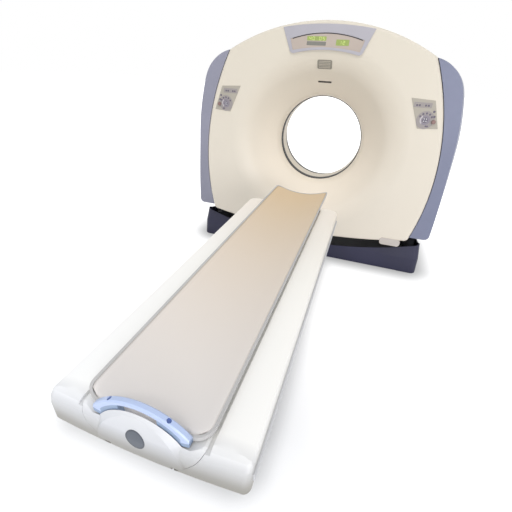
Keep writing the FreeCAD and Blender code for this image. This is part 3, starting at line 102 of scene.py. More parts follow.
MAT_TOP = 0.731           # middle of the cradle's trough
MAT_R = 0.4759            # radius of the trough
MAT_HALF = 0.194          # half width of the mat
MAT_Y = (-2.835, -0.783)  # foot and head ends of the mat
MAT_GRID = (36, 120)      # faces across and along
MAT_CORNER = 0.037        # corner radius
MAT_ROUND = 0.010         # width of the rounded edge
MAT_RISE = 0.0018         # from the edge to the flat
MAT_SINK = 0.0016         # how deep the edge lies in the trough
MAT_END_LIFT = 0.0001     # keeps the foot and head edges off zero height
MAT_THICK = 0.0035
MAT_WELD = 0.00002        # points nearer than this become one

# keypads: other places are given from the middle of the dial, outward and up; a box has a place,
# a width, a height and a corner radius
DIAL = (0.771, 1.308)     # middle of the dial
DIAL_R = 0.044            # radius of the ring of keys
FIELD = (-0.040, 0.095, 0.120, 0.034, 0.004)
DIAL_FIELD_R = 0.060
SQUARE_KEYS = [(x, 0.093, 0.014, 0.013, 0.002) for x in (-0.0775, -0.0605, -0.0195, -0.0025)]
RING_KEYS = [radians(a) for a in (150.0, 120.0, 90.0, 60.0, 30.0)]
RING_KEY_R = 0.0072
SIDE_KEYS = ((0.044, 0.058), (0.0536, 0.026))
SIDE_KEY_R = 0.0080
WIDE_KEY = (0.019, -0.040, 0.021, 0.011, 0.002)
MIDDLE_KEY_R = 0.0185
HUB_R = 0.033
CRESCENT_R = (0.035, 0.027)  # outer and inner radius
CRESCENT_ARC = [radians(130.0 + 5.0 * i) for i in range(21)]
ARROWS = [radians(90.0 * i + 45.0) for i in range(4)]  # round marks on the middle key
ARROW_RING_R = 0.0105
ARROW_R = 0.0036
# undersides and tops, over the keypad plate
FIELD_LIFT = (-0.0002, 0.0004)
HUB_LIFT = (0.0002, 0.0008)
CRESCENT_LIFT = (0.0006, 0.0011)
KEY_LIFT = (0.0003, 0.0019)
MIDDLE_KEY_LIFT = (0.0011, 0.0019)
ARROW_LIFT = (0.0018, 0.0022)

# display: boxes of the number windows; place of each number's first figure, and the number
LIT_WINDOWS = ((-0.072, 1.775, 0.138, 0.026, 0.004), (0.112, 1.754, 0.090, 0.036, 0.004))
DARK_WINDOW = (-0.072, 1.745, 0.138, 0.024, 0.004)
NUMBERS = ((-0.118, 1.775, "40"), (-0.046, 1.775, "05"), (0.096, 1.754, "12"))
FIGURE = (0.013, 0.018, 0.0026)  # width, height, thickness of the bars
FIGURE_PITCH = 0.024
BAR_FILL = 0.92           # share of a bar that is lit
BAR_CORNER = 0.001
ARCH = (0.260, 0.041, 1.770)     # half span and rise of the pane's upper edge, height of its ends
SEAL_BAND = (0.0006, 0.006)      # edges of the seal, below the arch
SEAL_REACH = 17.0         # degrees to each side
SEAL_STEPS = 16
# undersides and tops, over the gantry's face
WINDOW_LIFT = (0.0035, 0.0046)
FIGURE_LIFT = (0.0045, 0.0049)
SEAL_LIFT = (0.0038, 0.0050)

BADGE = (-0.001, 0.7225)  # middle of the badge on the dome
BADGE_TALL = 1.25         # height over width, so that it looks round from above
BADGE_SIDES = 64
BADGE_RINGS = 6
BADGE_SINK = 0.0010       # how deep its back lies in the dome
# name, inner and outer radius, thickness, finish
BADGE_PARTS = (
    ("foot_badge", 0.0, 0.0250, 0.0005, "badge"),
    ("foot_badge_rim", 0.0250, 0.0295, 0.0007, "rim"),
)

# ---------------------------------------------------------------- surfaces
ROUGH_BAND = (-0.06, 0.08)         # uneven gloss of a shell, about its roughness
MOTTLE = 0.12                      # share of noise in the tint that changes with height
FUNNEL_PAINTED_LIGHT = (1.12, 1.11, 1.11)   # painted light in the funnel, as a share of the colour of the face
FUNNEL_FADE = (0.45, 0.70)         # distances from the bore axis between which it turns into that
SOFT_LIMIT = radians(16.0)         # faces that turn by less share one smooth shading
SAME_POINT = 5                     # decimals by which corners count as one point
NO_LENGTH = 1e-12                  # keeps a corner without a normal from dividing by zero

# colour of the table's covers along each axis, place and colour: creamier near the gantry, and
# painted shade that makes the foot's face, the lower edge and the right side greyer
TABLE_TINT_AND_PAINTED_SHADE = (
    ("Y", ((-2.885, (0.60, 0.61, 0.64)), (-2.80, (0.96, 0.955, 0.94)),
           (-1.9, (0.96, 0.935, 0.88)), (-1.2, (0.96, 0.89, 0.80)))),
    ("Z", ((0.626, (0.42, 0.395, 0.335)), (0.650, (0.42, 0.40, 0.345)),
           (0.668, (0.48, 0.455, 0.41)), (0.700, (0.70, 0.69, 0.66)),
           (0.735, (0.93, 0.93, 0.93)), (0.742, (1.0, 1.0, 1.0)))),
    ("X", ((-0.33, (1.0, 1.0, 1.0)), (0.33, (0.93, 0.92, 0.90)))),
)


# ---------------------------------------------------------------- small helpers
def new_object(name, bm, smooth=True):
    mesh = bpy.data.meshes.new(name)
    bm.to_mesh(mesh)
    bm.free()
    for p in mesh.polygons:
        p.use_smooth = smooth
    obj = bpy.data.objects.new(name, mesh)
    bpy.context.scene.collection.objects.link(obj)
    return obj


def add_plate(bm, outline, face, lift, bevel=0.0):
    # closed plate from an (x, z) outline; lift gives its underside and top in front of a face
    back = [bm.verts.new((x, face - lift[0], z)) for x, z in outline]
    front = [bm.verts.new((x, face - lift[1], z)) for x, z in outline]
    n = len(outline)
    bm.faces.new(back[::-1])
    top = bm.faces.new(front)
    for i in range(n):
        j = (i + 1) % n
        bm.faces.new((back[i], back[j], front[j], front[i]))
    if bevel:
        bmesh.ops.bevel(bm, geom=list(top.edges), offset=bevel, segments=2, affect="EDGES")


def extrude_all(bm, axis, distance):
    # gives an open sheet a thickness and turns its faces outward
    geom = bmesh.ops.extrude_face_region(bm, geom=list(bm.faces))
    for v in [g for g in geom["geom"] if isinstance(g, bmesh.types.BMVert)]:
        v.co[axis] += distance
    bmesh.ops.recalc_face_normals(bm, faces=bm.faces)


def round_rect(cx, cz, w, h, r, steps=4):
    pts = []
    for qx, qz, a0 in ((1, 1, 0), (-1, 1, 90), (-1, -1, 180), (1, -1, 270)):
        for i in range(steps + 1):
            a = radians(a0 + 90.0 * i / steps)
            pts.append((cx + qx * (w / 2 - r) + r * cos(a), cz + qz * (h / 2 - r) + r * sin(a)))
    return pts


def circle(cx, cz, r, steps=28):
    turns = [2 * pi * i / steps for i in range(steps)]
    return [(cx + r * cos(a), cz + r * sin(a)) for a in turns]


# ---------------------------------------------------------------- shader nodes
def tree_of(name):
    mat = bpy.data.materials.new(name)
    mat.use_nodes = True
    nt = mat.node_tree
    return mat, nt, nt.nodes["Principled BSDF"]


def coords_of(nt, kind="Object"):
    return nt.nodes.new("ShaderNodeTexCoord").outputs[kind]


def xyz_of(nt, kind="Object"):
    parts = nt.nodes.new("ShaderNodeSeparateXYZ")
    nt.links.new(coords_of(nt, kind), parts.inputs["Vector"])
    return parts.outputs


def noise(nt, scale, detail, stretch=None):
    tex = nt.nodes.new("ShaderNodeTexNoise")
    tex.inputs["Scale"].default_value = scale
    tex.inputs["Detail"].default_value = detail
    if stretch is None:
        nt.links.new(coords_of(nt), tex.inputs["Vector"])
    else:
        mapping = nt.nodes.new("ShaderNodeMapping")
        mapping.inputs["Scale"].default_value = stretch
        nt.links.new(coords_of(nt), mapping.inputs["Vector"])
        nt.links.new(mapping.outputs["Vector"], tex.inputs["Vector"])
    return tex.outputs["Fac"]


def math_node(nt, operation, *values):
    # each value is a number or the output of another node
    node = nt.nodes.new("ShaderNodeMath")
    node.operation = operation
    for socket, value in zip(node.inputs, values):
        if isinstance(value, float):
            socket.default_value = value
        else:
            nt.links.new(value, socket)
    return node.outputs["Value"]


def vector_node(nt, operation, source, other=None):
    node = nt.nodes.new("ShaderNodeVectorMath")
    node.operation = operation
    nt.links.new(source, node.inputs[0])
    if other is not None:
        node.inputs[1].default_value = other
    return node.outputs


def map_range(nt, source, from_min, from_max, to_min=0.0, to_max=1.0):
    span = nt.nodes.new("ShaderNodeMapRange")
    span.inputs["From Min"].default_value = from_min
    span.inputs["From Max"].default_value = from_max
    span.inputs["To Min"].default_value = to_min
    span.inputs["To Max"].default_value = to_max
    nt.links.new(source, span.inputs["Value"])
    return span


def ramp_between(nt, source, low, high, lo=0.35, hi=0.65):
    ramp = nt.nodes.new("ShaderNodeValToRGB")
    ramp.color_ramp.elements[0].position = lo
    ramp.color_ramp.elements[0].color = (*low, 1.0)
    ramp.color_ramp.elements[1].position = hi
    ramp.color_ramp.elements[1].color = (*high, 1.0)
    nt.links.new(source, ramp.inputs["Fac"])
    return ramp.outputs["Color"]


def axis_ramp(nt, axis, stops):
    # colour that changes along an axis: (place, colour) from one end to the other
    start, end = stops[0][0], stops[-1][0]
    span = map_range(nt, xyz_of(nt)[axis], start, end)
    ramp = nt.nodes.new("ShaderNodeValToRGB")
    elements = ramp.color_ramp.elements
    for i, (place, color) in enumerate(stops):
        at = (place - start) / (end - start)
        if 0 < i < len(stops) - 1:
            element = elements.new(at)
        else:
            element = elements[0 if i == 0 else -1]
        element.position = at
        element.color = (*color, 1.0)
    nt.links.new(span.outputs["Result"], ramp.inputs["Fac"])
    return ramp.outputs["Color"]


def multiplied(nt, first, second):
    both = nt.nodes.new("ShaderNodeMix")
    both.data_type = "RGBA"
    both.blend_type = "MULTIPLY"
    both.inputs["Factor"].default_value = 1.0
    nt.links.new(first, both.inputs["A"])
    nt.links.new(second, both.inputs["B"])
    return both.outputs["Result"]


def mixed_into(nt, out, share, first, second):
    mix = nt.nodes.new("ShaderNodeMixShader")
    nt.links.new(share, mix.inputs["Fac"])
    nt.links.new(first, mix.inputs[1])
    nt.links.new(second, mix.inputs[2])
    nt.links.new(mix.outputs["Shader"], out.inputs["Surface"])


def bump_from(nt, bsdf, source, strength, distance):
    bump = nt.nodes.new("ShaderNodeBump")
    bump.inputs["Strength"].default_value = strength
    bump.inputs["Distance"].default_value = distance
    nt.links.new(source, bump.inputs["Height"])
    nt.links.new(bump.outputs["Normal"], bsdf.inputs["Normal"])


def rough_from(nt, bsdf, source, low, high):
    span = map_range(nt, source, 0.0, 1.0, low, high)
    nt.links.new(span.outputs["Result"], bsdf.inputs["Roughness"])


def shell_surface(nt, bsdf, rough):
    # uneven gloss and fine orange peel of a painted or moulded shell
    gloss = noise(nt, scale=14.0, detail=5.0)
    rough_from(nt, bsdf, gloss, rough + ROUGH_BAND[0], rough + ROUGH_BAND[1])
    peel = noise(nt, scale=900.0, detail=2.0)
    bump_from(nt, bsdf, peel, strength=0.25, distance=0.00012)


# ---------------------------------------------------------------- materials
def shade(color, k):
    return tuple(min(1.0, c * k) for c in color)


def moulded(name, color, rough, spread=0.04, coat=0.0):
    # shell with faint mottling
    mat, nt, bsdf = tree_of(name)
    broad = noise(nt, scale=2.3, detail=4.0)
    tone = ramp_between(nt, broad, shade(color, 1 - spread), shade(color, 1 + spread))
    nt.links.new(tone, bsdf.inputs["Base Color"])
    shell_surface(nt, bsdf, rough)
    bsdf.inputs["Coat Weight"].default_value = coat
    return mat


def graded(name, low_color, high_color, z0, z1):
    # shell whose tint changes with height, with painted light that makes it lighter inside the
    # funnel round the bore axis
    mat, nt, bsdf = tree_of(name)
    height = map_range(nt, xyz_of(nt)["Z"], z0, z1).outputs["Result"]
    blend = math_node(nt, "MULTIPLY_ADD", noise(nt, scale=3.0, detail=4.0), MOTTLE, height)
    tone = ramp_between(nt, blend, low_color, high_color, lo=0.1, hi=1.0)
    flat = vector_node(nt, "MULTIPLY", coords_of(nt), (1.0, 0.0, 1.0))["Vector"]
    away = vector_node(nt, "DISTANCE", flat, (0.0, 0.0, ISO))["Value"]
    light = ramp_between(nt, away, FUNNEL_PAINTED_LIGHT, (1.0, 1.0, 1.0), *FUNNEL_FADE)
    nt.links.new(multiplied(nt, tone, light), bsdf.inputs["Base Color"])
    shell_surface(nt, bsdf, 0.42)
    return mat


def table_white(name):
    # white covers with a cream tint, and painted shade on the foot's face, the lower edge and the
    # right side
    mat, nt, bsdf = tree_of(name)
    along, up, across = (axis_ramp(nt, axis, stops) for axis, stops in TABLE_TINT_AND_PAINTED_SHADE)
    tone = multiplied(nt, multiplied(nt, along, up), across)
    nt.links.new(tone, bsdf.inputs["Base Color"])
    shell_surface(nt, bsdf, 0.36)
    return mat


def metal(name, color, rough):
    # brushed along Z
    mat, nt, bsdf = tree_of(name)
    grain = noise(nt, scale=8.0, detail=4.0, stretch=(60.0, 60.0, 4.0))
    tone = ramp_between(nt, grain, shade(color, 0.86), shade(color, 1.08))
    nt.links.new(tone, bsdf.inputs["Base Color"])
    rough_from(nt, bsdf, grain, rough - 0.08, rough + 0.12)
    bump_from(nt, bsdf, grain, strength=0.15, distance=0.0001)
    bsdf.inputs["Metallic"].default_value = 1.0
    return mat


def vinyl(name, foot, head):
    # coated cloth with a fine pebble grain; (place, colour) at its foot and head ends
    mat, nt, bsdf = tree_of(name)
    nt.links.new(axis_ramp(nt, "Y", (foot, head)), bsdf.inputs["Base Color"])
    cells = nt.nodes.new("ShaderNodeTexVoronoi")
    cells.inputs["Scale"].default_value = 420.0
    nt.links.new(coords_of(nt), cells.inputs["Vector"])
    bump_from(nt, bsdf, cells.outputs["Distance"], strength=0.35, distance=0.0003)
    rough_from(nt, bsdf, noise(nt, scale=9.0, detail=4.0), low=0.48, high=0.62)
    bsdf.inputs["Sheen Weight"].default_value = 0.08
    return mat


def glowing(name, color, strength):
    mat, nt, bsdf = tree_of(name)
    cells = noise(nt, scale=500.0, detail=2.0)
    tone = ramp_between(nt, cells, shade(color, 0.8), shade(color, 1.1))
    nt.links.new(tone, bsdf.inputs["Base Color"])
    nt.links.new(tone, bsdf.inputs["Emission Color"])
    bsdf.inputs["Emission Strength"].default_value = strength
    bsdf.inputs["Roughness"].default_value = 0.3
    return mat


# moulded and metal: name, colour, roughness
M = {
    "ivory": graded("gantry_ivory", (0.77, 0.70, 0.595), (0.66, 0.605, 0.505), 0.25, 1.9),
    "blue": moulded("gantry_blue", (0.26, 0.26, 0.325), 0.38),
    # darker copy of the blue for the right side cover: painted shade of the side turned from the
    # light
    "blue_right_painted_shade": moulded("gantry_blue_right", (0.195, 0.21, 0.30), 0.38),
    "lilac": moulded("display_lilac", (0.41, 0.395, 0.43), 0.36),
    "window": moulded("display_pane", (0.46, 0.385, 0.33), 0.2, coat=0.5),
    "keypad": moulded("keypad_taupe", (0.40, 0.365, 0.305), 0.5),
    "field": moulded("keypad_field", (0.31, 0.28, 0.27), 0.5),
    "hub": moulded("keypad_hub", (0.24, 0.215, 0.25), 0.45),
    "crescent": moulded("keypad_crescent", (0.52, 0.48, 0.50), 0.45),
    "red": moulded("stop_red", (0.23, 0.135, 0.12), 0.35, coat=0.2),
    "black": moulded("ring_black", (0.02, 0.02, 0.022), 0.5),
    "tan": moulded("liner_tan", (0.66, 0.60, 0.50), 0.4),
    "grille": moulded("grille_grey", (0.28, 0.26, 0.215), 0.5),
    "seal": moulded("pane_seal", (0.03, 0.03, 0.035), 0.5),
    "tab": moulded("latch_tab", (0.53, 0.48, 0.44), 0.42),
    "laser": moulded("laser_dark", (0.015, 0.015, 0.02), 0.2, coat=0.6),
    "navy": moulded("base_navy", (0.014, 0.014, 0.042), 0.5, spread=0.15),
    "white": table_white("table_white"),
    "pan": moulded("pan_grey", (0.36, 0.37, 0.42), 0.5),
    "trim": moulded("trim_grey", (0.52, 0.52, 0.53), 0.4),
    "fibre": moulded("cradle_fibre", (0.50, 0.49, 0.48), 0.45),
    "vinyl": vinyl("mat_vinyl", (-2.8, (0.74, 0.70, 0.67)), (-0.9, (0.70, 0.53, 0.33))),
    "handle": moulded("handle_blue", (0.44, 0.53, 0.75), 0.34, coat=0.2),
    "plug": moulded("plug_blue", (0.08, 0.13, 0.34), 0.4),
    # dark steel blue on the end cap's pads under the handle's feet is painted shade of the feet's
    # front faces
    "pads_painted_shade": moulded("pads_steel_blue", (0.25, 0.33, 0.47), 0.45),
    "steel": metal("steel", (0.55, 0.56, 0.58), 0.35),
    "paint": moulded("frame_paint", (0.22, 0.23, 0.25), 0.5),
    # near black on the base frame and posts is painted shade of the hollow inside the base
    "dark": moulded("base_dark_painted_shade", (0.035, 0.036, 0.045), 0.55),
    "alloy": metal("alloy", (0.72, 0.73, 0.75), 0.4),
    "iron": metal("iron", (0.22, 0.22, 0.23), 0.55),
    "key": moulded("key_violet", (0.13, 0.11, 0.15), 0.45),
    "mark": moulded("key_mark", (0.70, 0.71, 0.70), 0.5),
    "led": glowing("led_green", (0.27, 0.34, 0.09), 0.2),
    "digit": glowing("led_digit", (0.52, 0.62, 0.20), 0.4),
    "smoke": moulded("dark_glass", (0.19, 0.185, 0.16), 0.2, coat=0.5),
    "badge": moulded("badge_slate", (0.071, 0.084, 0.107), 0.42),
    "rim": moulded("badge_rim", (0.05, 0.058, 0.075), 0.42),
}

FINISH = {
    "front_cover": "ivory", "rear_cover": "ivory", "top_cover": "ivory", "belly_cover": "ivory",
    "side_cover_left": "blue", "side_cover_right": "blue_right_painted_shade", "display_frame": "lilac",
    "display_window": "window", "speaker_grille": "grille", "laser_window": "laser",
    "latch_plate": "tab", "keypad_left": "keypad", "keypad_right": "keypad",
    "stop_button_left": "red", "stop_button_right": "red", "bore_liner": "tan",
    "throat_ring_front": "black", "throat_ring_rear": "black", "tilt_frame": "paint",
    "trunnions": "steel", "cover_mounts": "steel", "main_bearing_outer": "steel",
    "brush_block": "black", "rotor_ring": "alloy", "main_bearing_inner": "steel",
    "xray_tube": "paint", "collimator": "iron", "detector_arc": "alloy",
    "hv_generator": "paint", "heat_exchanger": "alloy", "counterweights": "iron",
    "slip_ring": "black", "gantry_base_frame": "dark", "plinth_front": "navy",
    "plinth_rear": "navy", "post_left": "dark", "post_right": "dark",
    "tilt_bearings": "iron", "tilt_gearmotor": "iron", "floor_duct": "navy",
    "table_floor_plate": "navy", "skirt_lower": "navy", "lift_tubes_lower": "steel",
    "skirt_middle": "navy", "lift_tubes_middle": "steel", "skirt_upper": "navy",
    "lift_tubes_upper": "steel", "table_cover": "white", "table_under_pan": "pan",
    "table_beams": "paint", "nose_cover": "white", "side_trims": "trim",
    "cradle_guides": "steel", "cradle_board": "fibre", "cradle_mat": "vinyl",
    "cradle_end_cap": "pads_painted_shade", "cradle_handle": "handle", "handle_plugs": "plug",
    "cradle_carriage": "alloy",
}

# curved shells, which are meshed in strips
CURVED = ("front_cover", "rear_cover", "side_cover_left", "side_cover_right", "top_cover",
          "belly_cover", "bore_liner", "table_cover", "nose_cover", "cradle_board",
          "cradle_end_cap", "cradle_handle")


def dress(obj, key):
    obj.data.materials.clear()
    obj.data.materials.append(M[key])
    return obj


def dress_nodes():
    for name, key in FINISH.items():
        obj = NODES[name]
        for i in range(len(obj.data.materials)):
            obj.data.materials[i] = M[key]


def soften(obj, limit):
    # one smooth shading across the strips, crisp where faces turn by more than the limit
    mesh = obj.data
    mesh.polygons.foreach_set("use_smooth", [True] * len(mesh.polygons))
    corners = np.array([mesh.vertices[loop.vertex_index].co for loop in mesh.loops])
    faces = np.repeat(np.arange(len(mesh.polygons)), [p.loop_total for p in mesh.polygons])
    normals = np.array([p.normal for p in mesh.polygons])[faces]
    areas = np.array([p.area for p in mesh.polygons])[faces]
    group = np.unique(np.round(corners, SAME_POINT), axis=0, return_inverse=True)[1].ravel()
    order = np.argsort(group, kind="stable")
    result = np.empty_like(normals)
    for members in np.split(order, np.flatnonzero(np.diff(group[order])) + 1):
        n = normals[members]
        near = (n @ n.T > cos(limit)) * areas[members]
        result[members] = near @ n
    result /= np.maximum(np.linalg.norm(result, axis=1, keepdims=True), NO_LENGTH)
    mesh.normals_split_custom_set(result.tolist())


# ---------------------------------------------------------------- camera, light and floor
def camera():
    az, el, roll = CAMERA_TURN
    ahead = Vector((-sin(az) * cos(el), cos(az) * cos(el), -sin(el)))
    right = Vector((cos(az), sin(az), 0.0))
    up = right.cross(ahead)
    rolled_right = right * cos(roll) + up * sin(roll)
    rolled_up = -right * sin(roll) + up * cos(roll)
    rot = Matrix((rolled_right, rolled_up, -ahead)).transposed()
    data = bpy.data.cameras.new("camera")
    data.sensor_width = SENSOR_MM
    data.lens = FOCAL_PIXELS / PHOTO_PIXELS * SENSOR_MM
    data.clip_end = FAR_CLIP
    obj = bpy.data.objects.new("camera", data)
    obj.matrix_world = Matrix.Translation(CAMERA_AT) @ rot.to_4x4()
    bpy.context.scene.collection.objects.link(obj)
    bpy.context.scene.camera = obj


def area_light(name, place, target, size, power, color):
    data = bpy.data.lights.new(name, "AREA")
    data.shape = "RECTANGLE"
    data.size, data.size_y = size
    data.energy = power
    data.color = color
    obj = bpy.data.objects.new(name, data)
    aim = Vector(target) - Vector(place)
    obj.rotation_euler = aim.to_track_quat("-Z", "Y").to_euler()
    obj.location = place
    bpy.context.scene.collection.objects.link(obj)


def seen_rays(nt):
    # 1 where a camera, mirror or glass ray looks, 0 for the light that falls on the object
    path = nt.nodes.new("ShaderNodeLightPath").outputs
    looked = math_node(nt, "MAXIMUM", path["Is Camera Ray"], path["Is Glossy Ray"])
    return math_node(nt, "MAXIMUM", looked, path["Is Transmission Ray"])


def world():
    # white where it is seen; the light it gives is stronger from the front
    w = bpy.data.worlds.new("studio")
    bpy.context.scene.world = w
    w.use_nodes = True
    nt = w.node_tree
    nt.nodes.clear()
    out = nt.nodes.new("ShaderNodeOutputWorld")
    soft = nt.nodes.new("ShaderNodeBackground")
    soft.inputs["Color"].default_value = SKY_COLOR
    front = map_range(nt, xyz_of(nt, "Generated")["Y"], 0.0, -1.0, *SKY)
    nt.links.new(front.outputs["Result"], soft.inputs["Strength"])
    white = nt.nodes.new("ShaderNodeBackground")
    white.inputs["Color"].default_value = (1.0, 1.0, 1.0, 1.0)
    white.inputs["Strength"].default_value = 1.0
    mixed_into(nt, out, seen_rays(nt), soft.outputs["Background"], white.outputs["Background"])


def painted_floor_shadow(nt, across, along, inside, outside, darkest):
    # painted shadow: soft grey of the floor in a rectangle with round corners
    place = xyz_of(nt)
    past = nt.nodes.new("ShaderNodeCombineXYZ")
    for axis, (lo, hi) in (("X", across), ("Y", along)):
        middle = math_node(nt, "SUBTRACT", place[axis], (lo + hi) / 2)
        away = math_node(nt, "ABSOLUTE", middle)
        over = math_node(nt, "SUBTRACT", away, (hi - lo) / 2 - SHADE_CORNER)
        nt.links.new(math_node(nt, "MAXIMUM", over, 0.0), past.inputs[axis])
    reach = vector_node(nt, "LENGTH", past.outputs["Vector"])["Value"]
    span = map_range(nt, reach, SHADE_CORNER + inside, SHADE_CORNER + outside, darkest, 1.0)
    span.interpolation_type = "SMOOTHSTEP"
    return span.outputs["Result"]


def floor():
    # white ground that keeps the soft shadow round the object, with painted shadow under the table
    # and round the plinth, and fades to plain white away from it
    bm = bmesh.new()
    bmesh.ops.create_grid(bm, x_segments=1, y_segments=1, size=FLOOR_HALF)
    obj = new_object("floor", bm, False)
    obj.location = (0.0, 0.0, FLOOR_Z)
    mat = bpy.data.materials.new("floor_white")
    mat.use_nodes = True
    nt = mat.node_tree
    nt.nodes.clear()
    out = nt.nodes.new("ShaderNodeOutputMaterial")
    seen = seen_rays(nt)
    # painted shadow under the table and round the plinth, which greys the ground and its plain
    # white
    (x0, y0, _), (x1, _, _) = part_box("plinth_front")
    y1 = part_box("plinth_rear")[1][1]
    table = painted_floor_shadow(nt, *TABLE_PAINTED_SHADOW)
    plinth = painted_floor_shadow(nt, (x0, x1), (y0, y1), *PLINTH_PAINTED_SHADOW)
    under = math_node(nt, "MULTIPLY", table, plinth)
    # the ground that takes the light
    tint = nt.nodes.new("ShaderNodeMix")
    tint.data_type = "RGBA"
    tint.inputs["A"].default_value = (FLOOR_BOUNCE, FLOOR_BOUNCE, FLOOR_BOUNCE, 1.0)
    nt.links.new(math_node(nt, "MULTIPLY", under, FLOOR_WHITE), tint.inputs["B"])
    nt.links.new(seen, tint.inputs["Factor"])
    diffuse = nt.nodes.new("ShaderNodeBsdfDiffuse")
    nt.links.new(tint.outputs["Result"], diffuse.inputs["Color"])
    # the plain white that is mixed into it
    glow = nt.nodes.new("ShaderNodeEmission")
    nt.links.new(under, glow.inputs["Color"])
    glow.inputs["Strength"].default_value = GLOW_STRENGTH
    near = map_range(nt, xyz_of(nt)["Y"], *GLOW_Y, *GLOW)
    reach = vector_node(nt, "DISTANCE", coords_of(nt), GLOW_MIDDLE)["Value"]
    fade = map_range(nt, reach, *GLOW_FADE)
    nt.links.new(near.outputs["Result"], fade.inputs["To Min"])
    share = math_node(nt, "MULTIPLY", seen, fade.outputs["Result"])
    mixed_into(nt, out, share, diffuse.outputs["BSDF"], glow.outputs["Emission"])
    obj.data.materials.append(mat)


# ---------------------------------------------------------------- pieces of the scene
def trough_point(x, y, lift):
    # a point over the trough, lift above its surface
    r = MAT_R - lift
    return Vector((x, y, MAT_TOP + MAT_R - sqrt(r * r - x * x)))


def mat_pad():
    # thin vinyl pad: crowned sheet with rounded edges, lying in the trough
    bm = bmesh.new()
    nx, ny = MAT_GRID
    y0, y1 = MAT_Y
    grid = []
    for j in range(ny + 1):
        y = y0 + (y1 - y0) * j / ny
        edge = min(y - y0, y1 - y)
        cut = 0.0
        if edge < MAT_CORNER:
            cut = MAT_CORNER - sqrt(max(MAT_CORNER ** 2 - (MAT_CORNER - edge) ** 2, 0.0))
        half = MAT_HALF - cut
        row = []
        for i in range(nx + 1):
            x = half * (2.0 * i / nx - 1.0)
            side = min(half - abs(x), edge + MAT_END_LIFT)
            k = min(1.0, max(side, 0.0) / MAT_ROUND)
            lift = MAT_RISE * sqrt(1.0 - (1.0 - k) ** 2) - MAT_SINK
            row.append(bm.verts.new(trough_point(x, y, lift)))
        grid.append(row)
    for j in range(ny):
        for i in range(nx):
            bm.faces.new((grid[j][i], grid[j][i + 1], grid[j + 1][i + 1], grid[j + 1][i]))
    bmesh.ops.remove_doubles(bm, verts=bm.verts, dist=MAT_WELD)
    extrude_all(bm, 2, -MAT_THICK)
    obj = dress(new_object("mat_pad", bm), "vinyl")
    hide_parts("cradle_mat")
    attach(obj, "cradle")


def key_sets(side, name):
    # separate key caps on a keypad plate, and the plain darker fields under them
    def box(dx, dz, *size):
        return round_rect(side * (DIAL[0] + dx), DIAL[1] + dz, *size)

    def disc(dx, dz, *size):
        return circle(side * (DIAL[0] + dx), DIAL[1] + dz, *size)

    fields = bmesh.new()
    for outline in (box(*FIELD), disc(0.0, 0.0, DIAL_FIELD_R, 48)):
        add_plate(fields, outline, PAD_FACE, FIELD_LIFT)
    caps = [box(*key) for key in (*SQUARE_KEYS, WIDE_KEY)]
    caps += [disc(DIAL_R * cos(a), DIAL_R * sin(a), RING_KEY_R) for a in RING_KEYS]
    caps += [disc(dx, dz, SIDE_KEY_R) for dx, dz in SIDE_KEYS]
    keys = bmesh.new()
    for outline in caps:
        add_plate(keys, outline, PAD_FACE, KEY_LIFT, BEVEL)
    add_plate(keys, disc(0.0, 0.0, MIDDLE_KEY_R, 40), PAD_FACE, MIDDLE_KEY_LIFT, BEVEL)
    hub = bmesh.new()
    add_plate(hub, disc(0.0, 0.0, HUB_R, 40), PAD_FACE, HUB_LIFT)
    # the crescent is on the left of the dial on both plates
    crescent = bmesh.new()
    outline = [(side * DIAL[0] + r * cos(a), DIAL[1] + r * sin(a))
               for r, turn in zip(CRESCENT_R, (1, -1)) for a in CRESCENT_ARC[::turn]]
    add_plate(crescent, outline, PAD_FACE, CRESCENT_LIFT)
    arrows = bmesh.new()
    for a in ARROWS:
        outline = disc(ARROW_RING_R * cos(a), ARROW_RING_R * sin(a), ARROW_R, 16)
        add_plate(arrows, outline, PAD_FACE, ARROW_LIFT)
    for bm, part, key in ((fields, "_fields", "field"), (hub, "_hub", "hub"),
                          (crescent, "_crescent", "crescent"), (keys, "_keys", "key"),
                          (arrows, "_marks", "mark")):
        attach(dress(new_object(name + part, bm, False), key), "gantry")


SEGMENTS = {"0": "abcdef", "1": "bc", "2": "abged", "4": "fgbc", "5": "afgcd"}


def segments(bm, x, z, text):
    # seven-segment figures, plain numbers only
    w, h, t = FIGURE
    places = {
        "a": (0, h / 2, w, t), "g": (0, 0, w, t), "d": (0, -h / 2, w, t),
        "b": (w / 2, h / 4, t, h / 2), "c": (w / 2, -h / 4, t, h / 2),
        "f": (-w / 2, h / 4, t, h / 2), "e": (-w / 2, -h / 4, t, h / 2),
    }
    for k, ch in enumerate(text):
        for s in SEGMENTS[ch]:
            dx, dz, sw, sh = places[s]
            bar = round_rect(x + k * FIGURE_PITCH + dx, z + dz, sw * BAR_FILL, sh * BAR_FILL,
                             BAR_CORNER, 2)
            add_plate(bm, bar, FACE, FIGURE_LIFT)


def led_windows():
    # two lit number windows on the display's pane, a dark one under the first
    lit = bmesh.new()
    for window in LIT_WINDOWS:
        add_plate(lit, round_rect(*window), FACE, WINDOW_LIFT, BEVEL)
    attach(dress(new_object("led_windows", lit, False), "led"), "gantry")
    dark = bmesh.new()
    add_plate(dark, round_rect(*DARK_WINDOW), FACE, WINDOW_LIFT, BEVEL)
    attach(dress(new_object("dark_window", dark, False), "smoke"), "gantry")
    digits = bmesh.new()
    for number in NUMBERS:
        segments(digits, *number)
    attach(dress(new_object("led_digits", digits, False), "digit"), "gantry")


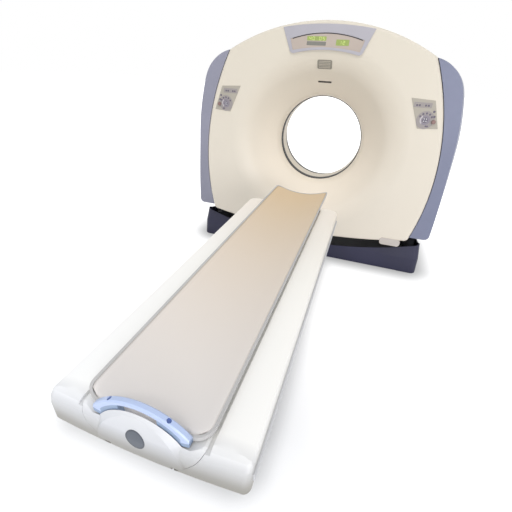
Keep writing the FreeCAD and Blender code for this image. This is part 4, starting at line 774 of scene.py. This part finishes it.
def pane_seal():
    # dark seal along the arched upper edge of the display's pane
    half, rise, ends = ARCH
    r = (half * half + rise * rise) / (2 * rise)
    cz = ends + rise - r
    turns = [1.0 - i / SEAL_STEPS for i in range(2 * SEAL_STEPS + 1)]
    angles = [radians(90.0 + SEAL_REACH * turn) for turn in turns]
    upper, lower = ([((r - inset) * cos(a), cz + (r - inset) * sin(a)) for a in angles]
                    for inset in SEAL_BAND)
    bm = bmesh.new()
    add_plate(bm, lower + upper[::-1], FACE, SEAL_LIFT)
    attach(dress(new_object("pane_seal", bm, False), "seal"), "gantry")


def dome_y(x, z):
    # face of the round dome on the table's foot
    lean, height = DOME_UP if z > DOME_MIDDLE else DOME_DOWN
    back = lean * ((z - DOME_MIDDLE) / height) ** 2
    return DOME_FRONT + back + DOME_SIDE[0] * (x / DOME_SIDE[1]) ** 2


def foot_badge():
    # thin plate that follows the dome, left plain, with a narrow rim
    cx, cz = BADGE
    for name, r0, r1, t, key in BADGE_PARTS:
        bm = bmesh.new()
        rings = []
        for i in range(BADGE_RINGS + 1):
            r = r0 + (r1 - r0) * i / BADGE_RINGS
            ring = []
            for k in range(BADGE_SIDES if r > 0.0 else 1):
                a = 2 * pi * k / BADGE_SIDES
                x, z = cx + r * cos(a), cz + BADGE_TALL * r * sin(a)
                ring.append(bm.verts.new((x, max(dome_y(x, z) - t, DOME_FRONT), z)))
            rings.append(ring)
        for inner, outer in zip(rings, rings[1:]):
            for k in range(BADGE_SIDES):
                j = (k + 1) % BADGE_SIDES
                if len(inner) == 1:
                    bm.faces.new((inner[0], outer[j], outer[k]))
                else:
                    bm.faces.new((inner[k], inner[j], outer[j], outer[k]))
        extrude_all(bm, 1, t + BADGE_SINK)
        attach(dress(new_object(name, bm, False), key), "table_top")


bpy.context.scene.view_settings.view_transform = "Standard"
dress_nodes()
for name in CURVED:
    soften(NODES[name], SOFT_LIMIT)
camera()
world()
floor()
for light in LIGHTS:
    area_light(*light)
mat_pad()
key_sets(1, "keys_right")
key_sets(-1, "keys_left")
led_windows()
pane_seal()
foot_badge()
